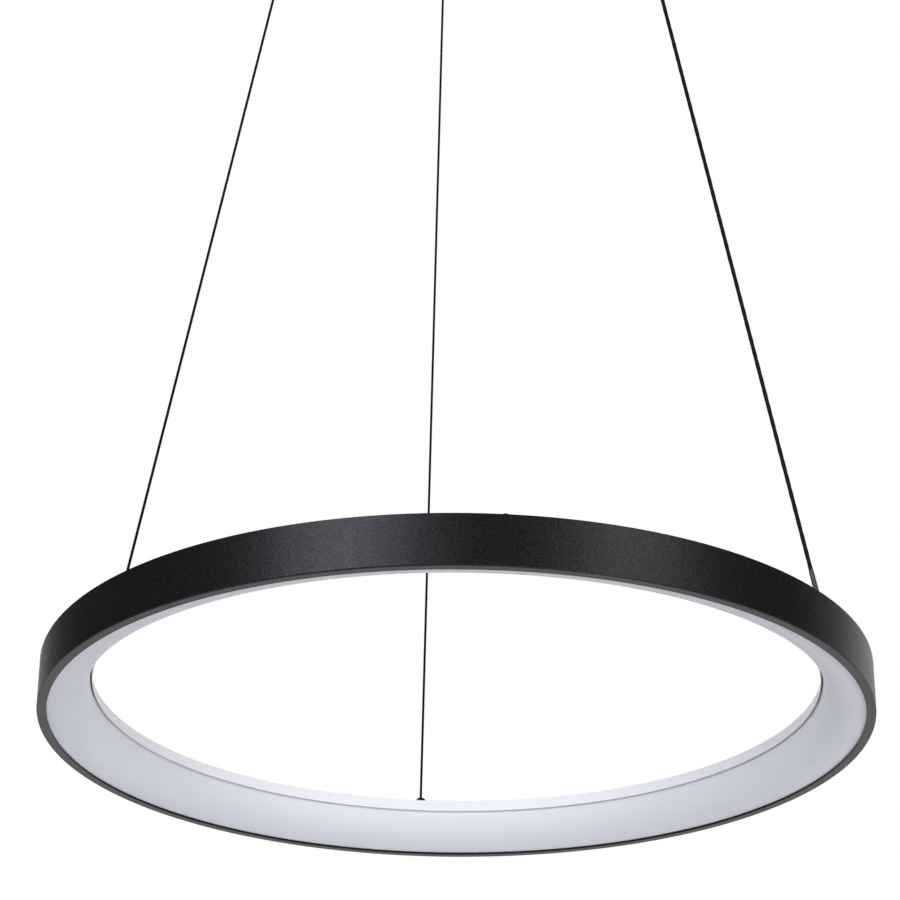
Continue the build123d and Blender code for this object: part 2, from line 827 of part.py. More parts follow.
cap_thread = grip_stub_radius + thread_clearance
cap_points = (
    (cord_hole, grip_cap_bottom),
    (grip_cap_radius - grip_cap_chamfer, grip_cap_bottom),
    (grip_cap_radius, grip_cap_bottom + grip_cap_chamfer),
    (grip_cap_radius, grip_cap_top),
    (cap_thread, grip_cap_top),
    (cap_thread, grip_cap_seat),
    (cord_hole, grip_cap_seat),
)
with BuildPart() as cord_grip_cap:
    revolve(section(cap_points, grip_x, grip_y), axis=grip_axis)
write(cord_grip_cap, "cord_grip_cap")
hex_nuts(
    "cord_grip_nut", [(grip_x, grip_y)], canopy_floor, lock_nut_flats, lock_nut_height, barrel_hole
)

# Tail of the cord from the grip to the driver's output end
driver_end = driver_length / 2
entry_end = driver_end - entry_depth + entry_clearance
swept_lead(
    "cord_tail",
    (
        (grip_x, grip_y, cord_head),
        (grip_x, grip_y, cord_tail_level),
        (grip_x, driver_y, cord_tail_level),
        (entry_end, driver_y, cord_tail_level),
    ),
    (cord_tail_rise_bend, cord_tail_turn_bend),
    cord_radius,
)

# LED driver: a case with lower ends, fixing tabs, and a cover over each end's terminals
case_half = driver_end - driver_end_length
cover_middle = driver_end - driver_end_length / 2
end_cover_base = canopy_floor + driver_end_height
driver_top = canopy_floor + driver_height
screw_x = driver_end - cover_screw_offset
screw_y = driver_y - driver_width / 2 + cover_screw_offset
with BuildPart() as driver_case:
    with BuildSketch(Plane.XY.offset(canopy_floor)):
        with Locations((0, driver_y)):
            Rectangle(driver_length, driver_width)
    extrude(amount=driver_end_height)
    with BuildSketch(Plane.XY.offset(end_cover_base)):
        with Locations((0, driver_y)):
            Rectangle(2 * case_half, driver_width)
    extrude(amount=driver_height - driver_end_height)
    fillet(driver_case.edges().filter_by(Axis.X).group_by(Axis.Z)[-1], driver_round)
    with BuildSketch(Plane.XY.offset(canopy_floor)):
        with Locations((0, driver_y)):
            Rectangle(driver_length + 2 * driver_tab_length, driver_tab_width)
        with Locations((-stud_x, driver_y), (stud_x, driver_y)):
            Circle(driver_stud_radius + thread_clearance, mode=Mode.SUBTRACT)
    extrude(amount=driver_tab_sheet)
    with BuildSketch(Plane.XY.offset(end_cover_base)):
        with Locations((-screw_x, screw_y), (screw_x, screw_y)):
            Circle(small_hole)
    extrude(amount=-driver_end_height / 2, mode=Mode.SUBTRACT)
write(driver_case, "driver_case")

lead_rows = (driver_y + lead_spread, driver_y - lead_spread)
with BuildPart() as driver_end_covers:
    with BuildSketch(Plane.XY.offset(end_cover_base)):
        with Locations((-cover_middle, driver_y), (cover_middle, driver_y)):
            Rectangle(driver_end_length - 2 * running_clearance, driver_width)
    extrude(amount=driver_height - driver_end_height)
    fillet(driver_end_covers.edges().filter_by(Axis.X).group_by(Axis.Z)[-1], driver_round)
    with BuildSketch(Plane.XY.offset(end_cover_base)):
        with Locations((-screw_x, screw_y), (screw_x, screw_y)):
            Circle(small_hole)
    extrude(amount=driver_height - driver_end_height, mode=Mode.SUBTRACT)
    with BuildSketch(Plane.YZ.offset(driver_end - entry_depth)):
        with Locations((driver_y, cord_tail_level)):
            Circle(cord_radius + entry_clearance)
    extrude(amount=entry_depth, mode=Mode.SUBTRACT)
    with BuildSketch(Plane.YZ.offset(-driver_end)):
        with Locations(*[(row, lead_level) for row in lead_rows]):
            Circle(lead_radius + entry_clearance)
    extrude(amount=entry_depth, mode=Mode.SUBTRACT)
write(driver_end_covers, "driver_end_covers")

cover_screw_points = (
    (0, end_cover_base - driver_end_height / 2),
    (small_screw_radius, end_cover_base - driver_end_height / 2),
    (small_screw_radius, driver_top),
    (small_screw_head_radius, driver_top),
    (small_screw_head_radius, driver_top + small_screw_head_height),
    (0, driver_top + small_screw_head_height),
)
with BuildPart() as driver_cover_screws:
    for x in (-screw_x, screw_x):
        revolve(section(cover_screw_points, x, screw_y), axis=upright_axis(x, screw_y))
write(driver_cover_screws, "driver_cover_screws")
hex_nuts(
    "driver_nuts",
    [(-stud_x, driver_y), (stud_x, driver_y)],
    canopy_floor + driver_tab_sheet,
    driver_nut_flats,
    driver_nut_height,
    driver_stud_radius + thread_clearance,
)

# Terminal block under the bracket, with its clamp screws and fixing screws
block_top = -bracket_sheet
block_bottom = block_top - block_height
poles = [block_x + (index - (pole_count - 1) / 2) * pole_pitch for index in range(pole_count)]
wells = [(pole, row) for pole in poles for row in (-well_offset, well_offset)]
fixings = [(block_x - pole_pitch / 2, 0), (block_x + pole_pitch / 2, 0)]
with BuildPart() as terminal_block:
    with BuildSketch(Plane.XY.offset(block_bottom)):
        with Locations((block_x, 0)):
            Rectangle(block_length, block_width)
    extrude(amount=block_height)
    fillet(terminal_block.edges().group_by(Axis.Z)[0], block_round)
    with BuildSketch(Plane.XY.offset(block_bottom)):
        with Locations(*wells):
            Circle(well_radius)
    extrude(amount=well_depth, mode=Mode.SUBTRACT)
    with BuildSketch(Plane.XY.offset(block_bottom)):
        with Locations(*fixings):
            Circle(small_hole)
    extrude(amount=block_height, mode=Mode.SUBTRACT)
    for face_y, inward in ((-block_width / 2, -1), (block_width / 2, 1)):
        with BuildSketch(upright(y=face_y)):
            with Locations(*[(pole, lead_level) for pole in poles]):
                Circle(wire_hole_radius)
        extrude(amount=inward * wire_hole_depth, mode=Mode.SUBTRACT)
write(terminal_block, "terminal_block")

with BuildPart() as clamp_screws:
    with BuildSketch(Plane.XY.offset(block_bottom + well_depth)):
        with Locations(*wells):
            Circle(well_radius - thread_clearance)
    extrude(amount=-clamp_screw_length)
write(clamp_screws, "clamp_screws")

fixing_points = (
    (0, block_bottom - small_screw_head_height),
    (small_screw_head_radius, block_bottom - small_screw_head_height),
    (small_screw_head_radius, block_bottom),
    (small_screw_radius, block_bottom),
    (small_screw_radius, -rim_gap),
    (0, -rim_gap),
)
with BuildPart() as block_screws:
    for x, y in fixings:
        revolve(section(fixing_points, x, y), axis=upright_axis(x, y))
write(block_screws, "block_screws")

# Live and neutral leads from the block to the driver, earth lead to the bracket
block_face = block_width / 2
for name, pole, row in (("live_lead", poles[0], lead_rows[0]), ("neutral_lead", poles[1], lead_rows[1])):
    swept_lead(
        name,
        ((pole, block_face, lead_level), (pole, row, lead_level), (-entry_end, row, lead_level)),
        (lead_bend,),
        lead_radius,
    )
swept_lead(
    "earth_lead",
    (
        (poles[2], block_face, lead_level),
        (poles[2], earth_turn_y, lead_level),
        (earth_x, earth_turn_y, tag_barrel_level),
        (earth_x, tag_barrel_end, tag_barrel_level),
    ),
    (earth_lead_bend, earth_lead_bend),
    lead_radius,
)

# Earth tag under the bracket and its screw
tag_bottom = block_top - tag_sheet
with BuildPart() as earth_tag:
    with BuildSketch(Plane.XY.offset(tag_bottom)):
        with Locations((earth_x, 0)):
            Circle(tag_radius)
        with Locations((earth_x, tag_neck_end / 2)):
            Rectangle(tag_neck_width, tag_neck_end)
        with Locations((earth_x, 0)):
            Circle(earth_screw_radius + thread_clearance, mode=Mode.SUBTRACT)
    extrude(amount=tag_sheet)
    with BuildSketch(upright(earth_x, tag_barrel_end, tag_barrel_level)):
        Circle(tag_barrel_radius)
    extrude(amount=tag_barrel_end - tag_barrel_start)
write(earth_tag, "earth_tag")

earth_points = (
    (0, tag_bottom - earth_screw_head_height),
    (earth_screw_head_radius, tag_bottom - earth_screw_head_height),
    (earth_screw_head_radius, tag_bottom),
    (earth_screw_radius, tag_bottom),
    (earth_screw_radius, -rim_gap),
    (0, -rim_gap),
)
with BuildPart() as earth_screw:
    revolve(section(earth_points, earth_x, 0), axis=upright_axis(earth_x, 0))
write(earth_screw, "earth_screw")
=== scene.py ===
"""Looks of a ring pendant light: its rolled ring, diffuser, taut wires, cord and ceiling canopy.

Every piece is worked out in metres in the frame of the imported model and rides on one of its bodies."""

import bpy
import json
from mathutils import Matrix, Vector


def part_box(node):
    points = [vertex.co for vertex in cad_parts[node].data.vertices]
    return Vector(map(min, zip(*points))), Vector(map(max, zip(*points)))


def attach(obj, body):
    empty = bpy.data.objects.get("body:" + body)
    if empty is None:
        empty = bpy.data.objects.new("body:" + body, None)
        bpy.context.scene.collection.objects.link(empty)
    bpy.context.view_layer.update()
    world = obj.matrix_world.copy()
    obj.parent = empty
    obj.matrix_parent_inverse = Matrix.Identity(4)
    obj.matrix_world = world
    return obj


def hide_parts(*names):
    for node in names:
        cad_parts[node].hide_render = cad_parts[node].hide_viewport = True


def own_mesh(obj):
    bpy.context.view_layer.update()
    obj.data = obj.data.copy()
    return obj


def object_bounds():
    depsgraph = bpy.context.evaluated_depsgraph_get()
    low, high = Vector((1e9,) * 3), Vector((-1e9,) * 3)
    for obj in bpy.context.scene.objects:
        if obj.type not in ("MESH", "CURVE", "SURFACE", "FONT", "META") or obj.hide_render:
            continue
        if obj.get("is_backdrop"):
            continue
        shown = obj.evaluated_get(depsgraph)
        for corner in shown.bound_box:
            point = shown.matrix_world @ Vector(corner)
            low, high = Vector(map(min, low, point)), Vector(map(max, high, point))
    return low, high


bl_info = {
    "name": "Ring Pendant Light",
    "version": (1, 0, 0),
    "blender": (4, 5, 0),
    "location": "View3D > Sidebar > Pendant",
    "description": "Builds the finished pieces of a ring pendant light around its frame",
    "category": "Add Mesh",
}

import json
from math import acos, cos, pi, radians, sin, tan

import bmesh
import bpy
import numpy as np
from mathutils import Euler, Matrix, Vector

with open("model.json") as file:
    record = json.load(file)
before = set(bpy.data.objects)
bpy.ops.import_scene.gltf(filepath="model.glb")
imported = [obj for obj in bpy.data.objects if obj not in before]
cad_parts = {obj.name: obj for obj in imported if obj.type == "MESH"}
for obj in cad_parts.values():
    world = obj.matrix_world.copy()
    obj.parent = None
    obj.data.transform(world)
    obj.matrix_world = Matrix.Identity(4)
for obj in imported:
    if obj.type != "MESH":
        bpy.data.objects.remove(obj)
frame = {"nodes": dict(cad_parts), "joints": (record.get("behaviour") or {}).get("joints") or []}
CAD_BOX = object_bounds()
TURN = 2 * pi
WHITE = (1.0, 1.0, 1.0)


def width(node):
    """Width of a node's box along X."""
    low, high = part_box(node)
    return high.x - low.x


def levels(node):
    """Lowest and highest level of a node."""
    low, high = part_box(node)
    return low.z, high.z


def middle(node):
    """Centre of a node's box, seen from above."""
    low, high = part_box(node)
    return ((low.x + high.x) / 2, (low.y + high.y) / 2)


def travel(joint):
    """Upper limit of a sliding joint."""
    return next(entry for entry in frame["joints"] if entry["name"] == joint)["range_m"][1]


# Places taken from the frame
RING_LOW, RING_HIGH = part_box("outer_housing")
TRAY_FOOT = levels("carrier_tray")[0]
CUP_LOW, CUP_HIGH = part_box("canopy_cup")
WIRE_DIAMETER = width("rear_wire")
CORD_DIAMETER = width("cord_stub")
LIFT = travel("height_adjust")
PRESS = travel("left_release")

# Small sizes that the fittings share
CLEARANCE = 0.0002
EASE = 0.0003
SLEEVE_WALL = 0.00045
WIRE_BORE = WIRE_DIAMETER / 2 + CLEARANCE
CORD_BORE = CORD_DIAMETER / 2 + CLEARANCE


def run_ends(node):
    """Foot and head of a leaning run, from its node's box: the foot is far from the axis, the head near."""
    low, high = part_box(node)
    wide = (CORD_DIAMETER if node == "power_cord" else WIRE_DIAMETER) / 2
    near, far = zip(*(sorted((low[k] + wide, high[k] - wide), key=abs) for k in range(2)))
    return np.array([*far, low.z]), np.array([*near, high.z])


def length(name, description, default):
    """A length property in metres."""
    return bpy.props.FloatProperty(
        name=name, description=description, default=default, unit="LENGTH", subtype="DISTANCE", precision=4
    )


def angle(name, description, default):
    """An angle property, given in degrees."""
    return bpy.props.FloatProperty(
        name=name, description=description, default=radians(default), unit="ROTATION", subtype="ANGLE"
    )


def colour(name, description, default):
    """A colour property, scene linear."""
    return bpy.props.FloatVectorProperty(
        name=name, description=description, default=default, size=3, subtype="COLOR", min=0.0, max=1.0
    )


def count(name, description, default):
    """A whole-number property."""
    return bpy.props.IntProperty(name=name, description=description, default=default, min=1)


def amount(name, description, default):
    """A plain number property."""
    return bpy.props.FloatProperty(name=name, description=description, default=default, min=0.0)


class RingSizes(bpy.types.PropertyGroup):
    """Section of the ring: band, lip, diffuser, white wall and cover."""

    radius: length("Radius", "Outer radius of the ring", RING_HIGH.x)
    band: length("Band width", "From the outer wall to the white wall's top", 0.0363)
    wall: length("Wall", "Thickness of the rolled outer wall", 0.002)
    lip_width: length("Lip width", "Width of the bottom lip", 0.0069)
    lip_height: length("Lip height", "Height of the bottom lip", 0.0018)
    ledge_width: length("Ledge width", "Width of the inner ledge that the tray sits on", 0.008)
    ledge_height: length("Ledge height", "Height of the inner ledge", 0.0035)
    sheet: length("Sheet", "Thickness of the tray's plate and of the cover", 0.0015)
    wall_sheet: length("Wall sheet", "Thickness of the tray's white inner wall", 0.0007)
    wall_lean: length("Wall lean", "How far the white wall's foot stands in from its top", 0.0018)
    cavity: length("Cavity", "Height between the tray's plate and the cover", 0.0035)
    edge_round: length("Edge round", "Rounding of the coated edges", 0.0005)
    foot_round: length("Foot round", "Rounding of the housing's lower outer edge", 0.0009)
    diffuser_wall: length("Diffuser wall", "Thickness of the opal diffuser", 0.0018)
    diffuser_slope: angle("Diffuser slope", "Slope of the diffuser beside the lip", 5.5)
    shoulder_drop: length("Shoulder drop", "How far below the plate the diffuser's round ends", 0.00348)
    slot: length("Slot", "Slot between the white wall's foot and the diffuser", 0.0014)
    tongue_gap: length("Tongue gap", "From the diffuser's tongue up to the plate", 0.0004)
    seat: length("Seat clearance", "Clearance between rings that nest in each other", 0.0003)
    segments: count("Segments", "Steps round the ring", 720)


class SuspensionSizes(bpy.types.PropertyGroup):
    """Wires, cord and sleeve."""

    wire_diameter: length("Wire diameter", "Diameter over the strands", WIRE_DIAMETER)
    strands: count("Strands", "Outer strands of a wire", 6)
    wire_lay: length("Wire lay", "Length of one turn of a strand", 0.011)
    cord_diameter: length("Cord diameter", "Diameter of the power cord", CORD_DIAMETER)
    cord_lay: length("Cord lay", "Length of one turn of the cores that show through the sheath", 0.024)
    sleeve_diameter: length(
        "Sleeve diameter", "Outside of the sleeve on the cord's foot", CORD_DIAMETER + 2 * SLEEVE_WALL
    )


class CanopySizes(bpy.types.PropertyGroup):
    """Ceiling cup and the fittings in it."""

    radius: length("Radius", "Outer radius of the cup", CUP_HIGH.x)
    sheet: length("Sheet", "Thickness of the cup", 0.0012)
    corner: length("Corner", "Rounding of the cup's lower edge", 0.004)
    knurls: count("Knurls", "Ridges round a knurled edge", 48)


class FinishColours(bpy.types.PropertyGroup):
    """Main colours, scene linear."""

    black_coat: colour("Black coat", "Fine textured black powder coat", (0.006, 0.006, 0.0064))
    white_coat: colour("White coat", "White powder coat of the inner wall", (0.90, 0.90, 0.912))
    opal: colour("Opal", "Unlit opal diffuser", (0.797, 0.804, 0.849))
    wire: colour("Wire", "Black coat of the steel wires", (0.006, 0.006, 0.0065))
    sheath: colour("Sheath", "Black cord sheath", (0.009, 0.009, 0.0095))
    sleeve: colour("Sleeve", "Grey sleeve on the cord's foot", (0.04, 0.04, 0.042))
    zinc: colour("Zinc", "Zinc plated steel", (0.56, 0.57, 0.58))
    nickel: colour("Nickel", "Nickel plated brass", (0.62, 0.60, 0.56))


class StageSettings(bpy.types.PropertyGroup):
    """Camera and light."""

    camera: bpy.props.FloatVectorProperty(
        name="Camera", description="Where the camera stands", size=3, subtype="TRANSLATION",
        unit="LENGTH", default=(-0.1909, -1.8339, -1.4914),
    )
    heading: angle("Heading", "Camera heading, from +Y towards +X", 5.765)
    pitch: angle("Pitch", "How far the camera looks up", 25.94)
    roll: angle("Roll", "How far the camera leans", 0.36)
    lens: bpy.props.FloatProperty(
        name="Lens", description="Focal length on a 36 mm sensor", default=108.3, subtype="DISTANCE_CAMERA"
    )
    floor: length("Floor", "Height of the floor under the ceiling", -2.4)
    ambient: amount("Ambient", "Strength of the soft light from all round", 0.24)
    overhead: amount("Overhead", "Strength of the soft light from straight above", 0.40)
    backdrop: angle("Backdrop", "How far the bright backdrop is turned towards +X in reflections", 18.0)
    room: amount("Room", "How bright the room in front of the backdrop looks in reflections", 0.10)
    key: amount("Key", "Power of the softbox at the front left, in watts", 32.5)
    side: amount("Side", "Power of the smaller softbox at the front right, in watts", 13.5)
    fill: amount("Fill", "Power of the low softbox far to the front right, in watts", 27.5)
    under: amount("Under", "Power of the softbox below the far side, which faces up, in watts", 2.05)
    cool: colour("Cool", "Tint of the key, the fill and the lamp below", (0.875, 0.89, 1.0))


# Shape functions


def rounded_profile(corners, steps=5, margin=0.0002):
    """Closed section through corners (r, z, rounding): each corner becomes an arc tangent to both
    sides, with one more point a margin away on each side so that flat faces shade flat."""
    table = np.array(corners, float)
    point, radius = table[:, :2], table[:, 2]
    before = np.roll(point, 1, 0) - point
    after = np.roll(point, -1, 0) - point
    before /= np.linalg.norm(before, axis=1)[:, None]
    after /= np.linalg.norm(after, axis=1)[:, None]
    half = np.arccos(np.clip((before * after).sum(1), -1, 1)) / 2
    bisector = before + after
    bisector /= np.linalg.norm(bisector, axis=1)[:, None]
    centre = point + bisector * (radius / np.sin(half))[:, None]
    start = point + before * (radius / np.tan(half))[:, None]
    end = point + after * (radius / np.tan(half))[:, None]
    first = np.arctan2(*(start - centre).T[::-1])
    sweep = np.arctan2(*(end - centre).T[::-1]) - first
    sweep = (sweep + pi) % TURN - pi
    turn = first[:, None] + sweep[:, None] * np.linspace(0, 1, steps)
    arc = centre[:, None] + radius[:, None, None] * np.stack([np.cos(turn), np.sin(turn)], -1)
    lead_in = (start + before * margin)[:, None]
    lead_out = (end + after * margin)[:, None]
    line = np.concatenate([lead_in, arc, lead_out], 1).reshape(-1, 2)
    return line[np.linalg.norm(line - np.roll(line, 1, 0), axis=1) > 1e-8]


def arc_points(centre, radius, first, last, steps):
    """Points on a circle about a centre in the section plane, between two angles."""
    turn = np.linspace(first, last, steps)
    return np.stack([centre[0] + radius * np.cos(turn), centre[1] + radius * np.sin(turn)], -1)


def grid_mesh(name, points, wrap_rows=False, wrap_columns=True, smooth_angle=32.0):
    """Quads over a grid of points with rows and columns; wrapped sides are closed on themselves.

    The UV map counts metres: u along the columns and v along the rows. Poles, where a whole row is
    one point, are merged, and the faces are turned outwards."""
    rows, columns = points.shape[:2]
    index = np.arange(rows * columns).reshape(rows, columns)
    along = np.linalg.norm(np.diff(points, axis=0, append=points[:1]), axis=2).mean(1)
    across = np.linalg.norm(np.diff(points, axis=1, append=points[:, :1]), axis=2).mean(0)
    v = np.concatenate([[0], np.cumsum(along)])
    u = np.concatenate([[0], np.cumsum(across)])
    if wrap_columns:
        index = np.concatenate([index, index[:, :1]], 1)
    if wrap_rows:
        index = np.concatenate([index, index[:1]], 0)
    corner = lambda table: np.stack(
        [table[:-1, :-1], table[:-1, 1:], table[1:, 1:], table[1:, :-1]], -1
    ).reshape(-1)
    loops = corner(index)
    u_grid, v_grid = np.meshgrid(u[: index.shape[1]], v[: index.shape[0]])
    mesh = bpy.data.meshes.new(name)
    mesh.vertices.add(rows * columns)
    mesh.vertices.foreach_set("co", points.astype(np.float32).ravel())
    mesh.loops.add(len(loops))
    mesh.loops.foreach_set("vertex_index", loops.astype(np.int32))
    mesh.polygons.add(len(loops) // 4)
    mesh.polygons.foreach_set("loop_start", np.arange(0, len(loops), 4, dtype=np.int32))
    mesh.update(calc_edges=True)
    uv = mesh.uv_layers.new(name="surface")
    uv.data.foreach_set("uv", np.stack([corner(u_grid), corner(v_grid)], -1).astype(np.float32).ravel())
    shell = bmesh.new()
    shell.from_mesh(mesh)
    bmesh.ops.remove_doubles(shell, verts=shell.verts, dist=1e-7)
    bmesh.ops.recalc_face_normals(shell, faces=shell.faces)
    shell.to_mesh(mesh)
    shell.free()
    mesh.shade_smooth()
    mesh.set_sharp_from_angle(angle=radians(smooth_angle))
    return mesh


def turned(profile, segments, centre=(0.0, 0.0), ridges=0, ridge_depth=None, corner_limit=None):
    """Surface of revolution: a section (r, z) carried round a vertical axis.

    Ridges make r swing by ridge_depth times the cosine of the ridge count times the angle, row by
    row, and corner_limit, a function of the angle, cuts r down to a polygon."""
    turn = np.linspace(0, TURN, segments, endpoint=False)
    r = np.repeat(profile[:, :1], segments, 1)
    if ridges:
        r = r + ridge_depth[:, None] * (np.cos(ridges * turn) - 1)[None] / 2
    if corner_limit is not None:
        r = np.minimum(r, corner_limit(turn)[None])
    z = np.repeat(profile[:, 1:], segments, 1)
    return np.stack([centre[0] + r * np.cos(turn), centre[1] + r * np.sin(turn), z], -1)


def hexagon(flats):
    """Radius of a hexagon, given across its flats, as a function of the angle."""
    sixth = TURN / 6
    return lambda turn: flats / 2 / np.cos((turn + sixth / 2) % sixth - sixth / 2)


def leaned(local, origin, direction):
    """Points drawn about a vertical axis at the origin, turned on to a direction and set at a point."""
    turn = np.array(Vector((0, 0, 1)).rotation_difference(Vector(direction)).to_matrix())
    return local @ turn.T + np.array(origin)


def socket_head(radius, height, socket_flats, socket_depth, segments=72):
    """Domed screw head: rows run in over the dome, blend from a circle to the socket's hexagon,
    go down its walls and close at the middle of its floor. The head stands on z = 0."""
    # Shares of the height, then of the head's and the socket's radius
    shoulder, foot_edge, dish, chamfer_top, chamfer_foot = 0.45, 0.06, 0.04, 0.985, 0.95
    seat, crown, chamfer, fillet = 0.9, 1.12, 1.04, 0.95
    turn = np.linspace(0, TURN, segments, endpoint=False)
    socket = hexagon(socket_flats)(turn)
    dome = np.linspace(0, 1, 10)[:, None]
    under = np.array([[0.0], [seat]]) * radius + np.zeros(segments)
    side_r = radius + (socket * crown - radius) * dome
    side_z = height * (shoulder + (1 - shoulder) * np.sqrt(1 - (1 - dome) ** 2)) + 0 * turn
    edge_r = np.stack([socket * chamfer, socket, socket, socket * fillet, 0 * socket])
    edge_z = np.array([chamfer_top, chamfer_foot, 0.0, 0.0, 0.0])[:, None] * height + 0 * turn
    edge_z[2:] += height - socket_depth
    edge_z[3:] -= dish * height
    r = np.concatenate([under, np.full((1, segments), radius), side_r, edge_r])
    z = np.concatenate([0 * under, np.full((1, segments), foot_edge * height), side_z, edge_z])
    return np.stack([r * np.cos(turn), r * np.sin(turn), z], -1)


def thread_rows(radius, depth, pitch, reach):
    """Thread: a saw-tooth radius, half a pitch a row, from z = 0 up to its reach."""
    rows = int(reach / pitch * 2)
    return np.stack([radius - depth * (np.arange(rows) % 2), np.linspace(0, reach, rows)], -1)


def capped(line, tube):
    """A tube's rings, closed at both ends at the end points of its path."""
    end = lambda k: np.repeat(line[k][None, None], tube.shape[1], 1)
    return np.concatenate([end(0), tube, end(-1)])


def bundle(path, radius, lobes, lay, columns, lobe_depth=None, coat=0.98, rows_per_lay=14):
    """Twisted tube along a straight path: its section has lobes that turn once in each lay.

    Without lobe_depth the section is that of round strands about a core: at an angle d from the
    nearest strand's middle, r = c cos d + sqrt(s^2 - c^2 sin^2 d), with s a third of the radius
    and c two thirds; the coat fills the grooves up to its share of the radius. With lobe_depth,
    r swings by that depth as a cosine."""
    step = np.linalg.norm(np.diff(path, axis=0), axis=1)
    station = np.concatenate([[0], np.cumsum(step)])
    rows = int(station[-1] / lay * rows_per_lay)
    place = np.linspace(0, station[-1], rows)
    line = np.stack([np.interp(place, station, path[:, k]) for k in range(3)], -1)
    ahead = path[-1] - path[0]
    ahead = ahead / np.linalg.norm(ahead)
    side = np.cross(ahead, [0.0, 0.0, 1.0])
    side /= np.linalg.norm(side)
    up = np.cross(side, ahead)
    turn = np.linspace(0, TURN, columns, endpoint=False)
    around = turn[None] + (TURN * place / lay)[:, None]
    if lobe_depth is None:
        strand, ring = radius / 3, radius * 2 / 3
        off = (turn + pi / lobes) % (TURN / lobes) - pi / lobes
        r = ring * np.cos(off) + np.sqrt(np.maximum(strand**2 - (ring * np.sin(off)) ** 2, 0))
        r = np.maximum(r, coat * radius)
    else:
        r = radius + lobe_depth * (np.cos(lobes * turn) - 1) / 2
    spoke = np.cos(around)[..., None] * side + np.sin(around)[..., None] * up
    return capped(line, line[:, None] + r[None, :, None] * spoke)


def coil(centre, low, high, radius, wire, turns, columns=10, steps_per_turn=28):
    """Round wire wound on a helix about a vertical axis, with its two ends flattened to a closed turn."""
    rows = int(turns * steps_per_turn)
    share = np.linspace(0, 1, rows)
    turn = TURN * turns * share
    climb = np.clip((share * turns - 1) / (turns - 2), 0, 1)
    rise = low + wire + (high - low - 2 * wire) * climb
    out = np.stack([np.cos(turn), np.sin(turn), 0 * turn], -1)
    line = np.array([*centre, 0.0]) + radius * out
    line[:, 2] = rise
    round_angle = np.linspace(0, TURN, columns, endpoint=False)
    spoke = np.cos(round_angle)[None, :, None] * out[:, None]
    spoke = spoke + np.sin(round_angle)[None, :, None] * np.array([0, 0, 1.0])
    return capped(line, line[:, None] + wire * spoke)


# Pieces


def add_piece(name, mesh, body, slot, finish, *replaced):
    """Links a finished mesh as a piece that rides on a body, and hides the nodes it stands for."""
    piece = bpy.data.objects.new(name, mesh)
    bpy.context.scene.collection.objects.link(piece)
    if mesh.materials:
        mesh.materials.clear()
    mesh.materials.append(finish)
    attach(piece, body)
    if replaced:
        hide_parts(*replaced)
    return piece


def joined(name, meshes):
    """One mesh out of several."""
    shell = bmesh.new()
    for mesh in meshes:
        shell.from_mesh(mesh)
    whole = bpy.data.meshes.new(name)
    shell.to_mesh(whole)
    shell.free()
    for mesh in meshes:
        bpy.data.meshes.remove(mesh)
    return whole


def hex_nut(node, spot, flats, bore, finish):
    """Hexagon nut: a turned section with chamfered rims, cut down to the hexagon where it is wider."""
    low, high = levels(node)
    half, corner, face = flats / 2, flats / 2 / cos(radians(30)), flats * 0.47
    rim, lip, chamfer = (corner - half) * 0.6, 0.0001, 0.0004
    section = np.array([
        (bore + chamfer, low), (face, low), (half, low + lip), (corner, low + rim),
        (corner, high - rim), (half, high - lip), (face, high), (bore + chamfer, high),
        (bore, high - chamfer), (bore, low + chamfer),
    ])
    shape = turned(section, 96, spot, corner_limit=hexagon(flats))
    mesh = grid_mesh(node, shape, wrap_rows=True, smooth_angle=18.0)
    return add_piece(f"chamfered_{node}", mesh, "canopy", "zinc_steel", finish, node)


def spline_curve(name, points):
    """Open NURBS curve with the given points as its control points."""
    curve = bpy.data.curves.new(name, "CURVE")
    curve.dimensions = "3D"
    spline = curve.splines.new("NURBS")
    spline.points.add(len(points) - 1)
    spline.points.foreach_set("co", np.c_[np.array(points, float), np.ones(len(points))].ravel())
    spline.order_u = 3
    spline.use_endpoint_u = True
    spline.resolution_u = 16
    return curve


def spline_points(name, points):
    """Points read from a route's own NURBS curve."""
    carrier = bpy.data.objects.new(name, spline_curve(name, points))
    bpy.context.scene.collection.objects.link(carrier)
    bpy.context.view_layer.update()
    line = bpy.data.meshes.new_from_object(carrier)
    read = np.empty(len(line.vertices) * 3)
    line.vertices.foreach_get("co", read)
    curve = carrier.data
    bpy.data.objects.remove(carrier)
    bpy.data.curves.remove(curve)
    bpy.data.meshes.remove(line)
    return read.reshape(-1, 3)


# Finishes


def set_sockets(shader, sockets):
    """Writes constants into a shader node's named sockets; an underscore stands for a space."""
    for socket, value in sockets.items():
        shader.inputs[socket.replace("_", " ")].default_value = value


def add_node(tree, kind, **sockets):
    """New shader node of a kind, with constants in its named sockets."""
    shader = tree.nodes.new(f"ShaderNode{kind}")
    set_sockets(shader, sockets)
    return shader


def new_finish(name, **sockets):
    """Node material with a principled surface whose named sockets hold the given constants."""
    finish = bpy.data.materials.new(name)
    finish.use_nodes = True
    surface = finish.node_tree.nodes["Principled BSDF"]
    set_sockets(surface, sockets)
    return finish, finish.node_tree, surface


def coordinates(tree, scale=(1.0, 1.0, 1.0), output="Object"):
    """Object coordinates or the piece's own UV map, stretched by a mapping."""
    source = add_node(tree, "TexCoord")
    mapping = add_node(tree, "Mapping", Scale=scale)
    tree.links.new(source.outputs[output], mapping.inputs["Vector"])
    return mapping.outputs["Vector"]


def noise(tree, vector, scale, detail=3.0):
    """Fractal noise, as a number from 0 to 1."""
    texture = add_node(tree, "TexNoise", Scale=scale, Detail=detail, Roughness=0.55)
    tree.links.new(vector, texture.inputs["Vector"])
    return texture.outputs["Fac"]


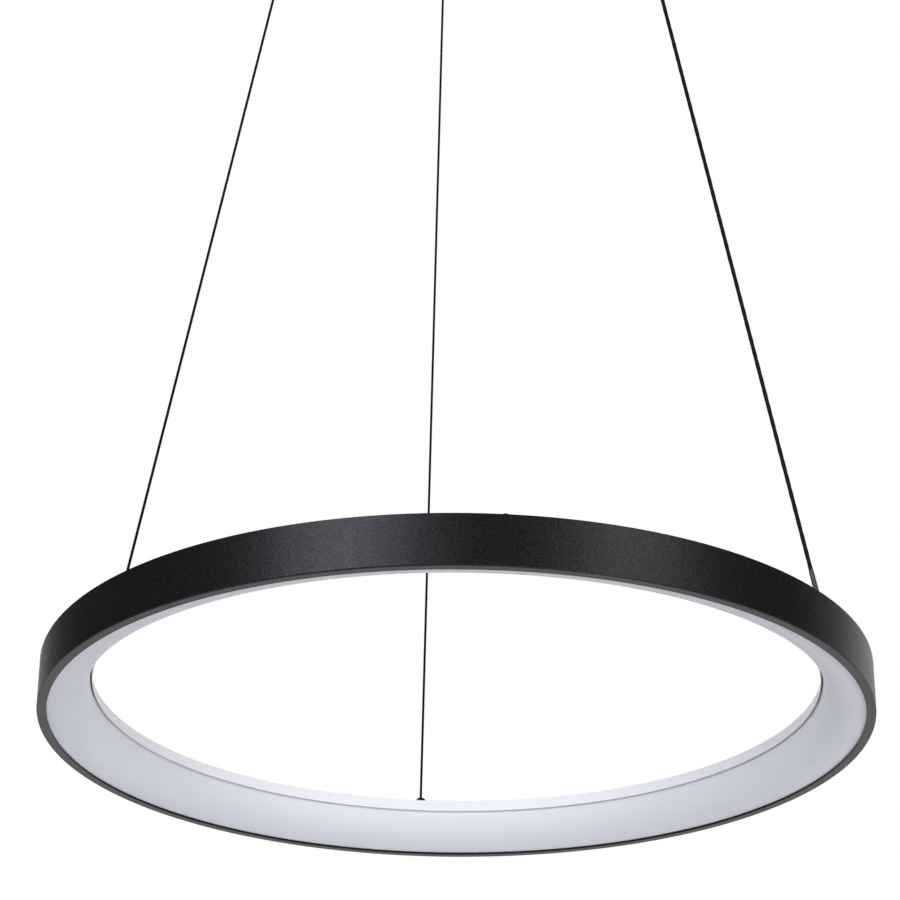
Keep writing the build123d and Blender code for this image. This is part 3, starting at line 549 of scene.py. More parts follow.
def tint(tree, surface, factor, dark, light, low=0.35, high=0.65):
    """Base colour between two colours, by a number."""
    ramp = add_node(tree, "ValToRGB")
    for stop, position, base in zip(ramp.color_ramp.elements, (low, high), (dark, light)):
        stop.position = position
        stop.color = (*base, 1.0)
    tree.links.new(factor, ramp.inputs["Fac"])
    tree.links.new(ramp.outputs["Color"], surface.inputs["Base Color"])


def gloss(tree, surface, factor, low, high, socket="Roughness"):
    """Roughness, or another socket, between two values, by a number."""
    span = add_node(tree, "MapRange", From_Min=0.3, From_Max=0.7, To_Min=low, To_Max=high)
    tree.links.new(factor, span.inputs["Value"])
    tree.links.new(span.outputs["Result"], surface.inputs[socket])


def relief(tree, surface, factor, distance):
    """Fine relief of a given height in metres."""
    bump = add_node(tree, "Bump", Distance=distance, Strength=1.0)
    tree.links.new(factor, bump.inputs["Height"])
    tree.links.new(bump.outputs["Normal"], surface.inputs["Normal"])


def seen_directly(tree):
    """One where a ray comes from the camera, or from a mirror or clear surface, and otherwise nought."""
    path = add_node(tree, "LightPath")
    seen = path.outputs["Is Camera Ray"]
    for ray in ("Is Glossy Ray", "Is Transmission Ray"):
        either = add_node(tree, "Math")
        either.operation = "MAXIMUM"
        tree.links.new(seen, either.inputs[0])
        tree.links.new(path.outputs[ray], either.inputs[1])
        seen = either.outputs[0]
    return seen


def shade(base, factor):
    """A colour made darker or lighter."""
    return tuple(min(1.0, channel * factor) for channel in base)


def powder_coat(name, base, rough, specular, spread, grain_height):
    """Powder coat: a fine grain of about a millimetre with lighter flecks, and slow uneven gloss."""
    finish, tree, surface = new_finish(name)
    place = coordinates(tree)
    grain = noise(tree, place, scale=850.0, detail=2.0)
    slow = noise(tree, place, scale=22.0, detail=4.0)
    tint(tree, surface, grain, shade(base, 1 - spread), shade(base, 1 + spread), low=0.36, high=0.68)
    gloss(tree, surface, slow, rough - 0.02, rough + 0.02)
    gloss(tree, surface, grain, specular * 0.74, specular * 1.26, "Specular IOR Level")
    relief(tree, surface, grain, grain_height)
    return finish


def opal_finish(base):
    """Frosted opal plastic: a milky body with a faint cloud under a silky skin."""
    finish, tree, surface = new_finish("opal_plastic", Specular_IOR_Level=0.15)
    place = coordinates(tree)
    tint(tree, surface, noise(tree, place, scale=9.0), shade(base, 0.985), shade(base, 1.012))
    gloss(tree, surface, noise(tree, place, scale=60.0, detail=4.0), low=0.42, high=0.54)
    relief(tree, surface, noise(tree, place, scale=2600.0, detail=1.0), distance=0.000006)
    return finish


def metal_finish(name, base, rough, grain=(260.0, 260.0, 260.0)):
    """Plain or plated metal: a stretched grain varies its colour, gloss and skin."""
    finish, tree, surface = new_finish(name, Metallic=1.0)
    lines = noise(tree, coordinates(tree, grain), scale=1.0, detail=4.0)
    tint(tree, surface, lines, shade(base, 0.88), shade(base, 1.06))
    gloss(tree, surface, lines, rough - 0.06, rough + 0.08)
    relief(tree, surface, lines, distance=0.000004)
    return finish


def spangled_zinc(base):
    """Zinc plating: crystal spangles a few millimetres wide, each with its own tone and gloss."""
    finish, tree, surface = new_finish("zinc_plate", Metallic=1.0)
    cells = add_node(tree, "TexVoronoi", Scale=240.0, Randomness=1.0)
    tree.links.new(coordinates(tree), cells.inputs["Vector"])
    tone = add_node(tree, "SeparateColor")
    tree.links.new(cells.outputs["Color"], tone.inputs["Color"])
    tint(tree, surface, tone.outputs["Red"], shade(base, 0.84), shade(base, 1.08), low=0.0, high=1.0)
    gloss(tree, surface, tone.outputs["Green"], low=0.30, high=0.46)
    relief(tree, surface, noise(tree, coordinates(tree), scale=900.0), distance=0.000006)
    return finish


def moulded_plastic(name, base, rough, grain=1200.0, spread=0.05):
    """Moulded plastic: an even colour with a fine spark-eroded grain."""
    finish, tree, surface = new_finish(name, Specular_IOR_Level=0.42)
    skin = noise(tree, coordinates(tree), grain, detail=2.0)
    slow = noise(tree, coordinates(tree), scale=35.0)
    tint(tree, surface, slow, shade(base, 1 - spread), shade(base, 1 + spread))
    gloss(tree, surface, slow, rough - 0.05, rough + 0.06)
    relief(tree, surface, skin, distance=0.000012)
    return finish


def sheath_finish(name, base, rough, spread, specular):
    """Extruded sheath: long streaks along the cord, from its own UV map, over a matt skin."""
    finish, tree, surface = new_finish(name, Specular_IOR_Level=specular)
    streaks = noise(tree, coordinates(tree, (2600.0, 26.0, 1.0), "UV"), scale=1.0)
    tint(tree, surface, streaks, shade(base, 1 - spread), shade(base, 1 + spread))
    gloss(tree, surface, streaks, rough - 0.06, rough + 0.08)
    relief(tree, surface, streaks, distance=0.00002)
    return finish


def striped_insulation(name, base, stripe):
    """Insulation with one lengthways stripe, from its own UV map."""
    finish, tree, surface = new_finish(name, Specular_IOR_Level=0.4, Roughness=0.42)
    split = add_node(tree, "SeparateXYZ")
    tree.links.new(coordinates(tree, output="UV"), split.inputs["Vector"])
    tint(tree, surface, split.outputs["Y"], base, stripe, low=0.60, high=0.62)
    relief(tree, surface, noise(tree, coordinates(tree), scale=700.0, detail=2.0), distance=0.00001)
    return finish


def board_mask(base):
    """White solder mask over a board, with the faint print of tracks under it."""
    finish, tree, surface = new_finish("solder_mask", Specular_IOR_Level=0.5)
    tracks = noise(tree, coordinates(tree), scale=120.0, detail=1.0)
    tint(tree, surface, tracks, shade(base, 0.94), base, low=0.48, high=0.52)
    gloss(tree, surface, tracks, low=0.32, high=0.42)
    relief(tree, surface, tracks, distance=0.00002)
    return finish


class Finishes:
    """Every finish of the light by name, made the first time that a piece asks for it."""

    made = {}

    def __init__(self, colours):
        coat, plain, metal, sheath = powder_coat, moulded_plastic, metal_finish, sheath_finish
        black, white = colours.black_coat, colours.white_coat
        insulation = {"rough": 0.40, "spread": 0.15, "specular": 0.40}
        turning = (60.0, 60.0, 2600.0)
        self.makers = {
            "black_coat": lambda: coat("black_coat", black, 0.36, 0.23, spread=0.60, grain_height=0.0001),
            "cup_coat": lambda: coat("cup_coat", black, 0.42, 0.22, spread=0.45, grain_height=0.00006),
            "white_coat": lambda: coat(
                "white_coat", white, 0.48, 0.40, spread=0.015, grain_height=0.000012
            ),
            "opal": lambda: opal_finish(colours.opal),
            "wire": lambda: sheath("coated_wire", colours.wire, rough=0.48, spread=0.25, specular=0.05),
            "sheath": lambda: sheath("cord_sheath", colours.sheath, rough=0.52, spread=0.35, specular=0.07),
            "sleeve": lambda: sheath(
                "shrink_sleeve", colours.sleeve, rough=0.42, spread=0.20, specular=0.45
            ),
            "zinc": lambda: spangled_zinc(colours.zinc),
            "nickel": lambda: metal("nickel_plate", colours.nickel, 0.22, turning),
            "black_screw": lambda: metal("blackened_steel", (0.045, 0.045, 0.048), 0.36),
            "spring": lambda: metal("spring_steel", (0.38, 0.37, 0.36), 0.28),
            "brass": lambda: metal("plain_brass", (0.62, 0.45, 0.17), 0.30),
            "black_plastic": lambda: plain("black_nylon", (0.014, 0.014, 0.015), 0.45),
            "rubber": lambda: plain("soft_rubber", (0.02, 0.02, 0.02), 0.7),
            "white_plastic": lambda: plain("white_case", (0.78, 0.785, 0.77), 0.44, spread=0.02),
            "milky": lambda: plain("milky_block", (0.62, 0.64, 0.60), 0.38, spread=0.03),
            "brown": lambda: sheath("brown_insulation", (0.10, 0.038, 0.018), **insulation),
            "blue": lambda: sheath("blue_insulation", (0.02, 0.07, 0.33), **insulation),
            "red": lambda: plain("red_insulation", (0.34, 0.02, 0.016), 0.40),
            "earth": lambda: striped_insulation("earth_insulation", (0.06, 0.24, 0.03), (0.72, 0.58, 0.03)),
            "mask": lambda: board_mask((0.80, 0.80, 0.78)),
            "phosphor": lambda: plain("phosphor", (0.80, 0.56, 0.07), 0.30, grain=2500.0),
        }

    def __getitem__(self, name):
        if name not in self.made:
            self.made[name] = self.makers[name]()
        return self.made[name]


def finishes():
    """The light's finishes, in the colours that the scene's settings give."""
    return Finishes(bpy.context.scene.pendant_colours)


# Sections of the ring, measured from its underside


def ring_heights(ring):
    """Levels of the ring's section: underside and top of the tray's plate, and the top edge."""
    top = RING_HIGH.z - RING_LOW.z
    plate_top = top - ring.sheet - ring.cavity
    return plate_top - ring.sheet, plate_top, top


def housing_section(ring):
    """Outer wall with a bottom lip and an inner ledge; the coated edges are rounded."""
    plate_bottom, _, top = ring_heights(ring)
    outer, inner = ring.radius, ring.radius - ring.wall
    lip, ledge = outer - ring.lip_width, inner - ring.ledge_width
    soft, fine = ring.edge_round, ring.edge_round / 2
    return rounded_profile([
        (lip, 0, fine),
        (outer, 0, ring.foot_round),
        (outer, top, soft),
        (inner, top, soft),
        (inner, plate_bottom, 0),
        (ledge, plate_bottom, fine),
        (ledge, plate_bottom - ring.ledge_height, fine),
        (inner, plate_bottom - ring.ledge_height, 0),
        (inner, ring.lip_height, 0),
        (lip, ring.lip_height, fine),
    ])


def slot_sides(ring):
    """Radii of the slot at the white wall's foot: inner face of the wall, its back, and the diffuser."""
    inner = ring.radius - ring.band - ring.wall_lean
    return inner, inner + ring.wall_sheet, inner + ring.wall_sheet + ring.slot


def wall_shift(ring, level):
    """How far the leaning white wall stands out from its foot at a level."""
    foot, top = TRAY_FOOT - RING_LOW.z, RING_HIGH.z - RING_LOW.z
    return ring.wall_lean * (level - foot) / (top - foot)


def diffuser_section(ring):
    """Slope by the lip, a round tangent to it that ends upright, and the hidden tongue and flange.
    The round's radius meets both the slope and the tongue's inner face."""
    plate_bottom, _, _ = ring_heights(ring)
    face = slot_sides(ring)[2]
    lip = ring.radius - ring.lip_width
    seat = ring.radius - ring.wall - ring.seat
    shoulder = plate_bottom - ring.shoulder_drop
    slope = ring.diffuser_slope
    rise = shoulder - ring.lip_height - (lip - face) * tan(slope)
    big = rise / (cos(slope) - (1 - sin(slope)) * tan(slope))
    centre = (face + big, shoulder)
    flange = ring.lip_height + ring.diffuser_wall
    outside = arc_points(centre, big, pi, 1.5 * pi - slope, 40)
    inside = arc_points(centre, big - ring.diffuser_wall, 1.5 * pi - slope, pi, 20)
    meet = inside[0, 0] + (inside[0, 1] - flange) / tan(slope)
    top = plate_bottom - ring.tongue_gap
    slope_line = np.linspace(outside[-1], (lip, ring.lip_height), 8)[1:]
    return np.concatenate([
        outside,
        slope_line,
        [(seat, ring.lip_height), (seat, flange), (meet, flange)],
        inside,
        [(face + ring.diffuser_wall, top), (face, top)],
    ])


def tray_section(ring):
    """White inner wall that leans in toward its foot, and the plate that reaches out to the ledge."""
    plate_bottom, plate_top, top = ring_heights(ring)
    inner, back, _ = slot_sides(ring)
    seat = ring.radius - ring.wall - ring.seat
    foot = TRAY_FOOT - RING_LOW.z
    soft = ring.wall_sheet * 0.3
    return rounded_profile([
        (inner, foot, soft),
        (back, foot, soft),
        (back + wall_shift(ring, plate_bottom), plate_bottom, 0),
        (seat, plate_bottom, 0),
        (seat, plate_top, 0),
        (back + wall_shift(ring, plate_top), plate_top, 0),
        (back + ring.wall_lean, top, soft),
        (inner + ring.wall_lean, top, soft),
    ], margin=ring.wall_sheet * 0.15)


def slot_shade_section(ring):
    """Thin flat strip across the slot's top, between the diffuser's tongue and the plate: a black sheet that
    paints in the shade deep in the slot.
    """
    plate_bottom, _, _ = ring_heights(ring)
    back = slot_sides(ring)[1] + wall_shift(ring, plate_bottom)
    reach = slot_sides(ring)[2] + ring.diffuser_wall
    thin = ring.tongue_gap * 0.05
    return rounded_profile([
        (back + thin, plate_bottom - ring.tongue_gap + thin, thin),
        (reach, plate_bottom - ring.tongue_gap + thin, thin),
        (reach, plate_bottom - thin, thin),
        (back + thin, plate_bottom - thin, thin),
    ], margin=thin)


def cover_section(ring):
    """Flat ring with eased edges."""
    _, _, top = ring_heights(ring)
    inner = ring.radius - ring.band + ring.wall_sheet + ring.seat
    seat = ring.radius - ring.wall - ring.seat
    soft = ring.edge_round * 0.7
    return rounded_profile([
        (inner, top - ring.sheet, 0),
        (seat, top - ring.sheet, 0),
        (seat, top, soft),
        (inner, top, soft),
    ])


class PieceOperator(bpy.types.Operator):
    """Shared by the operators that build pieces"""

    bl_options = {"REGISTER", "UNDO"}

    def ring_piece(self, name, section, slot, finish, *replaced):
        """One ring of the assembly, turned about the light's axis."""
        ring = bpy.context.scene.pendant_ring
        profile = section(ring) + (0.0, RING_LOW.z)
        mesh = grid_mesh(name, turned(profile, ring.segments), wrap_rows=True)
        return add_piece(name, mesh, "ring", slot, finishes()[finish], *replaced)


class PENDANT_OT_ring_housing(PieceOperator):
    """Rolled outer housing with its lip and ledge"""

    bl_idname = "pendant.ring_housing"
    bl_label = "Outer housing"

    def execute(self, context):
        self.ring_piece("finished_outer_housing", housing_section, "black_coated_aluminium",
                        "black_coat", "outer_housing")
        return {"FINISHED"}


class PENDANT_OT_diffuser(PieceOperator):
    """Opal diffuser"""

    bl_idname = "pendant.diffuser"
    bl_label = "Diffuser"

    def execute(self, context):
        self.ring_piece("finished_diffuser", diffuser_section, "opal_plastic", "opal", "diffuser")
        return {"FINISHED"}


class PENDANT_OT_carrier_tray(PieceOperator):
    """White carrier tray with the inner wall, and a black strip over the slot beside it as painted shade"""

    bl_idname = "pendant.carrier_tray"
    bl_label = "Carrier tray"

    def execute(self, context):
        self.ring_piece("finished_carrier_tray", tray_section, "white_coated_aluminium",
                        "white_coat", "carrier_tray")
        # The black strip over the slot is painted shade: it darkens the slot as the shade deep in it would.
        self.ring_piece("painted_slot_shade", slot_shade_section, "grip_rubber", "rubber")
        return {"FINISHED"}


class PENDANT_OT_top_cover(PieceOperator):
    """Black top cover"""

    bl_idname = "pendant.top_cover"
    bl_label = "Top cover"

    def execute(self, context):
        self.ring_piece("finished_top_cover", cover_section, "black_coated_aluminium",
                        "black_coat", "top_cover")
        return {"FINISHED"}


class PENDANT_OT_ring_fittings(PieceOperator):
    """Wire anchors, cord gland and cover screws on the ring"""

    bl_idname = "pendant.ring_fittings"
    bl_label = "Ring fittings"

    dome_radius: length("Dome radius", "Radius of a wire anchor's dome", 0.0045)
    collar: length("Collar", "Straight height under the dome", 0.0023)
    stud_radius: length("Stud radius", "Radius of the anchor's stud", 0.0025)
    bore: length("Bore", "Radius of the hole that the wire leaves by", WIRE_BORE)
    ferrule_bore: length("Ferrule bore", "Radius of the hole in the stud for the wire's ferrule", 0.0017)
    ferrule_depth: length("Ferrule depth", "Depth of that hole", 0.008)
    gland_radius: length("Gland radius", "Radius of the gland's flange", 0.0055)
    gland_neck: length("Gland neck", "Radius of the gland's mouth", 0.0032)
    screw_radius: length("Screw radius", "Radius of a cover screw's head", 0.003)
    screw_height: length("Screw height", "Height of a cover screw's head", 0.0023)

    def anchor_section(self, low):
        """Hollow stud, a flat seat on the cover, a short collar and a dome pierced for the wire."""
        top, shoulder = RING_HIGH.z, low + self.ferrule_depth
        countersink = 0.002
        mouth = acos((self.bore + EASE) / self.dome_radius)
        dome = arc_points((0, top + self.collar), self.dome_radius, 0, mouth, 18)
        lip = dome[-1] + (-EASE, -CLEARANCE)
        return np.concatenate([
            [(self.ferrule_bore, low), (self.stud_radius, low), (self.stud_radius, top)],
            [(self.dome_radius - EASE, top), (self.dome_radius, top + EASE)],
            [(self.dome_radius, top + self.collar - CLEARANCE)],
            dome,
            [lip, (self.bore, lip[1] - countersink), (self.bore, shoulder), (self.ferrule_bore, shoulder)],
        ])

    def gland_section(self, low, high):
        """Threaded stud, a flange with an eased edge and a cone up to the cord's mouth."""
        top, flange_height, soft = RING_HIGH.z, 0.002, 0.0006
        return rounded_profile([
            (CORD_BORE, low, 0),
            (self.stud_radius, low, 0),
            (self.stud_radius, top, 0),
            (self.gland_radius, top, 0.0002),
            (self.gland_radius, top + flange_height, soft),
            (self.gland_neck, high, soft),
            (CORD_BORE, high, EASE),
        ])

    def execute(self, context):
        made = finishes()
        section = self.anchor_section(levels("wire_anchors")[0])
        domes = [
            grid_mesh(wire, turned(section, 72, run_ends(wire)[0][:2]), wrap_rows=True)
            for wire in ("left_wire", "rear_wire")
        ]
        add_piece("finished_wire_anchors", joined("finished_wire_anchors", domes), "ring",
                  "black_coated_steel", made["cup_coat"], "wire_anchors")
        gland = turned(self.gland_section(*levels("cord_gland")), 72, middle("cord_gland"))
        add_piece("finished_cord_gland", grid_mesh("finished_cord_gland", gland, wrap_rows=True), "ring",
                  "black_coated_steel", made["cup_coat"], "cord_gland")
        head = socket_head(self.screw_radius, self.screw_height, socket_flats=0.002, socket_depth=0.0012)
        ring_of_screws = -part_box("cover_screws")[0].y - self.screw_radius
        heads = []
        for spot in range(3):
            turn = radians(-90 + 120 * spot)
            place = (ring_of_screws * cos(turn), ring_of_screws * sin(turn), RING_HIGH.z)
            heads.append(grid_mesh("head", head + place))
        add_piece("finished_cover_screws", joined("finished_cover_screws", heads), "ring",
                  "black_screws", made["black_screw"], "cover_screws")
        return {"FINISHED"}


class PENDANT_OT_suspension(PieceOperator):
    """Two taut wires, the power cord and the sleeve on its foot"""

    bl_idname = "pendant.suspension"
    bl_label = "Wires and cord"

    def hang(self, piece, head, run):
        """Gives the run's piece a mesh of its own; the share of the drop that stays after the lift is worked out
        and not used.
        """
        drop = head[2] - run[0][2]
        (drop - LIFT) / drop
        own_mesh(piece)

    def execute(self, context):
        made = finishes()
        size = context.scene.pendant_suspension
        for node in ("left_wire", "rear_wire"):
            foot, head = run_ends(node)
            route = [foot, (foot + head) / 2, head]
            path = spline_points(node, route)
            mesh = grid_mesh(f"stranded_{node}", bundle(
                path, size.wire_diameter / 2, size.strands, size.wire_lay, size.strands * 8
            ), smooth_angle=50.0)
            wire = add_piece(f"stranded_{node}", mesh, "canopy", "wire_steel", made["wire"], node)
            self.hang(wire, head, route)
            float(np.linalg.norm(head - foot))
        foot, head = run_ends("power_cord")
        route = [foot, (foot + head) / 2, head]
        path = spline_points("power_cord", route)
        mesh = grid_mesh("sheathed_power_cord", bundle(
            path, size.cord_diameter / 2, lobes=2, lay=size.cord_lay, columns=32,
            lobe_depth=0.00012, rows_per_lay=24,
        ), smooth_angle=60.0)
        cord = add_piece("sheathed_power_cord", mesh, "canopy", "black_cord", made["sheath"], "power_cord")
        self.hang(cord, head, route)
        sleeve = self.sleeve(foot, head, size, made["sleeve"])
        self.hang(sleeve, head, route)
        float(np.linalg.norm(head - foot))
        return {"FINISHED"}

    def sleeve(self, foot, head, size, finish):
        """Shrunk tube round the cord: its wall thins towards the top and eases in at both ends."""
        rows, slack, run_in, taper, edge = 40, 0.00005, 0.06, 0.6, 0.55
        low, high = levels("cord_sleeve")
        ahead = (head - foot) / np.linalg.norm(head - foot)
        tall = (high - low) / ahead[2]
        outer, inner = size.sleeve_diameter / 2, size.cord_diameter / 2 + slack
        share = np.linspace(0, 1, rows)
        ease = np.minimum(1, np.minimum(share, 1 - share) / run_in)
        round_over = edge + (1 - edge) * np.sqrt(1 - (1 - ease) ** 2)
        wall = inner + (outer - inner) * (1 - taper * share) * round_over
        outside = np.stack([wall, tall * share], -1)
        inside = np.stack([np.full(rows, inner), tall * share[::-1]], -1)
        shell = leaned(turned(np.concatenate([outside, inside]), 48), foot, ahead)
        mesh = grid_mesh("shrunk_cord_sleeve", shell, wrap_rows=True)
        return add_piece("shrunk_cord_sleeve", mesh, "canopy", "grey_sleeve", finish, "cord_sleeve")


class PENDANT_OT_canopy_cup(PieceOperator):
    """Drawn ceiling cup with its weld studs"""

    bl_idname = "pendant.canopy_cup"
    bl_label = "Canopy cup"

    stud_radius: length("Stud radius", "Radius of the studs that hold the driver", 0.002)
    stud_height: length("Stud height", "Height of the studs above the cup's floor", 0.008)
    stud_pitch: length("Stud pitch", "Pitch of the studs' thread", 0.0007)
    thread_depth, tip_height, tip_share = 0.00035, 0.0003, 0.6
    nut_flats = 0.007

    def cup_section(self, size):
        """Floor, rounded lower corner and wall of the drawn cup, closed at the axis."""
        low, high = CUP_LOW.z, CUP_HIGH.z
        outer, inner = size.radius, size.radius - size.sheet
        floor, rim, near_axis = low + size.sheet, size.sheet * 0.4, 0.02
        wall = rounded_profile([
            (near_axis, low, 0),
            (outer, low, size.corner),
            (outer, high, rim),
            (inner, high, rim),
            (inner, floor, size.corner - size.sheet),
            (near_axis, floor, 0),
        ], steps=9)
        return np.concatenate([[(0.0, low)], wall[1:-1], [(0.0, floor)]])

    def stud_rows(self, floor):
        """Threaded stud on the cup's floor, with a bevelled tip that is closed at its middle."""
        thread = thread_rows(self.stud_radius, self.thread_depth, self.stud_pitch, self.stud_height)
        thread[:, 1] += floor
        tip = thread[-1, 1] + self.tip_height
        return np.concatenate([thread, [(self.stud_radius * self.tip_share, tip), (0, tip)]])

    def execute(self, context):
        made = finishes()
        size = context.scene.pendant_canopy
        shell = grid_mesh("cup", turned(self.cup_section(size), 360))
        low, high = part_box("driver_nuts")
        corner = self.nut_flats / 2 / cos(radians(30))
        studs = []
        for x in (low.x + corner, high.x - corner):
            rows = turned(self.stud_rows(CUP_LOW.z + size.sheet), 32, (x, (low.y + high.y) / 2))
            studs.append(grid_mesh("stud", rows, smooth_angle=25.0))
        add_piece("finished_canopy_cup", shell, "canopy", "black_coated_steel", made["cup_coat"],
                  "canopy_cup")
        add_piece("driver_studs", joined("driver_studs", studs), "canopy", "zinc_steel", made["zinc"])
        return {"FINISHED"}


class PENDANT_OT_wire_grippers(PieceOperator):
    """Wire grippers: bodies, plungers, springs and lock nuts"""

    bl_idname = "pendant.wire_grippers"
    bl_label = "Wire grippers"

    nut_flats: length("Nut flats", "Lock nut across its flats", 0.017)
    nut_bore = 0.0061
    nose_bore, nose_tip, nose_length = 0.00305, 0.0046, 0.006
    barrel, flange, flange_height = 0.006, 0.009, 0.003
    knurled_from, knurl_depth = 0.0088, 0.0003
    cage_bore, cone_foot, cone_top = 0.0043, 0.011, 0.019
    stem, collar, collar_height = 0.003, 0.0035, 0.0015
    spring_radius, spring_wire, spring_turns = 0.003, 0.0004, 7

    def body_section(self, node):
        """Tapered nose, knurled flange, barrel through the cup's floor and the bore inside."""
        low, high = levels(node)
        floor = CUP_LOW.z
        return rounded_profile([
            (self.nose_bore, low, 0.0003),
            (self.nose_tip, low, 0.0006),
            (self.barrel, low + self.nose_length, 0.002),
            (self.barrel, floor - self.flange_height, 0.0003),
            (self.flange, floor - self.flange_height, 0.0007),
            (self.flange, floor, 0.0002),
            (self.barrel, floor, 0),
            (self.barrel, high, 0.0005),
            (self.cage_bore, high, 0),
            (self.cage_bore, low + self.cone_top, 0),
            (self.nose_bore, low + self.cone_foot, 0),
        ])

    def plunger_section(self, node):
        """Pressed end with a rounded rim, stem and collar, hollow for the wire."""
        low, high = levels(node)
        shoulder = high - self.collar_height
        return rounded_profile([
            (WIRE_BORE, low, 0.0003),
            (self.stem, low, 0.0008),
            (self.stem, shoulder, 0),
            (self.collar, shoulder, 0.0002),
            (self.collar, high, 0.0002),
            (WIRE_BORE, high, 0),
        ])

    def execute(self, context):
        made = finishes()
        ridges = context.scene.pendant_canopy.knurls
        for side in ("left", "rear"):
            body, plunger = f"{side}_gripper_body", f"{side}_release_plunger"
            spring, nut = f"{side}_gripper_spring", f"{side}_gripper_nut"
            spot = middle(body)
            section = self.body_section(body)
            depth = np.where(section[:, 0] > self.knurled_from, self.knurl_depth, 0.0)
            shape = turned(section, ridges * 6, spot, ridges, depth)
            add_piece(f"turned_{body}", grid_mesh(body, shape, wrap_rows=True), "canopy", "nickel",
                      made["nickel"], body)
            shape = turned(self.plunger_section(plunger), 64, spot)
            add_piece(f"turned_{plunger}", grid_mesh(plunger, shape, wrap_rows=True), f"{side}_plunger",
                      "nickel", made["nickel"], plunger)
            low, high = levels(spring)
            shape = coil(spot, low, high, self.spring_radius, self.spring_wire, self.spring_turns)
            piece = add_piece(f"wound_{spring}", grid_mesh(spring, shape, smooth_angle=60.0), "canopy",
                              "zinc_steel", made["spring"], spring)
            (high - low - PRESS) / (high - low)
            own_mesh(piece)
            hex_nut(nut, spot, self.nut_flats, self.nut_bore, made["zinc"])
        return {"FINISHED"}


class PENDANT_OT_cord_grip(PieceOperator):
    """Cord grip: body, fluted clamping cap and lock nut"""

    bl_idname = "pendant.cord_grip"
    bl_label = "Cord grip"

    flutes: count("Flutes", "Flutes round the clamping cap", 16)
    fluted_from, flute_depth = 0.0066, 0.0007
    cap_tip, cap_radius, cap_bore, cap_taper, cap_wall = 0.0055, 0.0075, 0.0053, 0.002, 0.004
    seat_bore, seat_depth, stub = 0.0036, 0.004, 0.0052
    barrel, flange, flange_height = 0.006, 0.009, 0.003
    flange_flats, nut_flats, nut_bore = 0.0172, 0.017, 0.0061

    def cap_section(self):
        """Domed cap with a bore for the cord and a threaded mouth."""
        low, high = levels("cord_grip_cap")
        return rounded_profile([
            (CORD_BORE, low, 0.0004),
            (self.cap_tip, low, 0.0008),
            (self.cap_radius, low + self.cap_taper, 0.0010),
            (self.cap_radius, high, 0.0005),
            (self.cap_bore, high, 0.0002),
            (self.cap_bore, low + self.cap_wall, 0),
            (CORD_BORE, low + self.cap_wall, 0),
        ])

    def body_section(self):
        """Flange against the cup, barrel through its floor and the stub that the cap screws on."""
        low, high = levels("cord_grip_body")
        floor = CUP_LOW.z
        return rounded_profile([
            (self.seat_bore, low, 0.0002),
            (self.stub, low, 0.0002),
            (self.stub, floor - self.flange_height, 0),
            (self.flange, floor - self.flange_height, 0.0006),
            (self.flange, floor, 0.0002),
            (self.barrel, floor, 0),
            (self.barrel, high, 0.0005),
            (CORD_BORE, high, 0.0003),
            (CORD_BORE, low + self.seat_depth, 0),
            (self.seat_bore, low + self.seat_depth, 0),
        ])

    def execute(self, context):
        made = finishes()
        spot = middle("cord_grip_body")
        shape = turned(self.body_section(), 96, spot, corner_limit=hexagon(self.flange_flats))
        add_piece("moulded_cord_grip_body", grid_mesh("grip", shape, wrap_rows=True), "canopy",
                  "black_plastic", made["black_plastic"], "cord_grip_body")
        section = self.cap_section()
        depth = np.where(section[:, 0] > self.fluted_from, self.flute_depth, 0.0)
        shape = turned(section, self.flutes * 10, spot, self.flutes, depth)
        add_piece("fluted_cord_grip_cap", grid_mesh("cap", shape, wrap_rows=True), "canopy",
                  "black_plastic", made["black_plastic"], "cord_grip_cap")
        hex_nut("cord_grip_nut", spot, self.nut_flats, self.nut_bore, made["zinc"])
        return {"FINISHED"}


class PENDANT_OT_canopy_screws(PieceOperator):
    """Side screws of the canopy"""

    bl_idname = "pendant.canopy_screws"
    bl_label = "Canopy screws"

    head_radius: length("Head radius", "Radius of a side screw's head", 0.0036)
    head_height: length("Head height", "Height of a side screw's head", 0.0024)
    shank_radius: length("Shank radius", "Radius of a side screw's thread", 0.002)
    pitch: length("Pitch", "Pitch of a side screw's thread", 0.0007)
    thread_depth, reach = 0.0003, 0.0098

    def shank(self):
        """Thread under the head, closed at its tip."""
        thread = thread_rows(self.shank_radius, self.thread_depth, self.pitch, self.reach) * (1, -1)
        return np.concatenate([[(0, 0)], thread, [(0, thread[-1, 1])]])

    def execute(self, context):
        made = finishes()
        low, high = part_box("canopy_screws")
        head = socket_head(self.head_radius, self.head_height, socket_flats=0.0025, socket_depth=0.0014)
        shank = turned(self.shank(), 32)
        parts = []
        for side in (-1, 1):
            seat = (side * (high.x - self.head_height), 0.0, (low.z + high.z) / 2)
            parts.append(grid_mesh("head", leaned(head, seat, (side, 0, 0))))
            parts.append(grid_mesh("shank", leaned(shank, seat, (side, 0, 0)), smooth_angle=25.0))
        add_piece("socket_canopy_screws", joined("socket_canopy_screws", parts), "canopy",
                  "black_coated_steel", made["black_screw"], "canopy_screws")
        return {"FINISHED"}


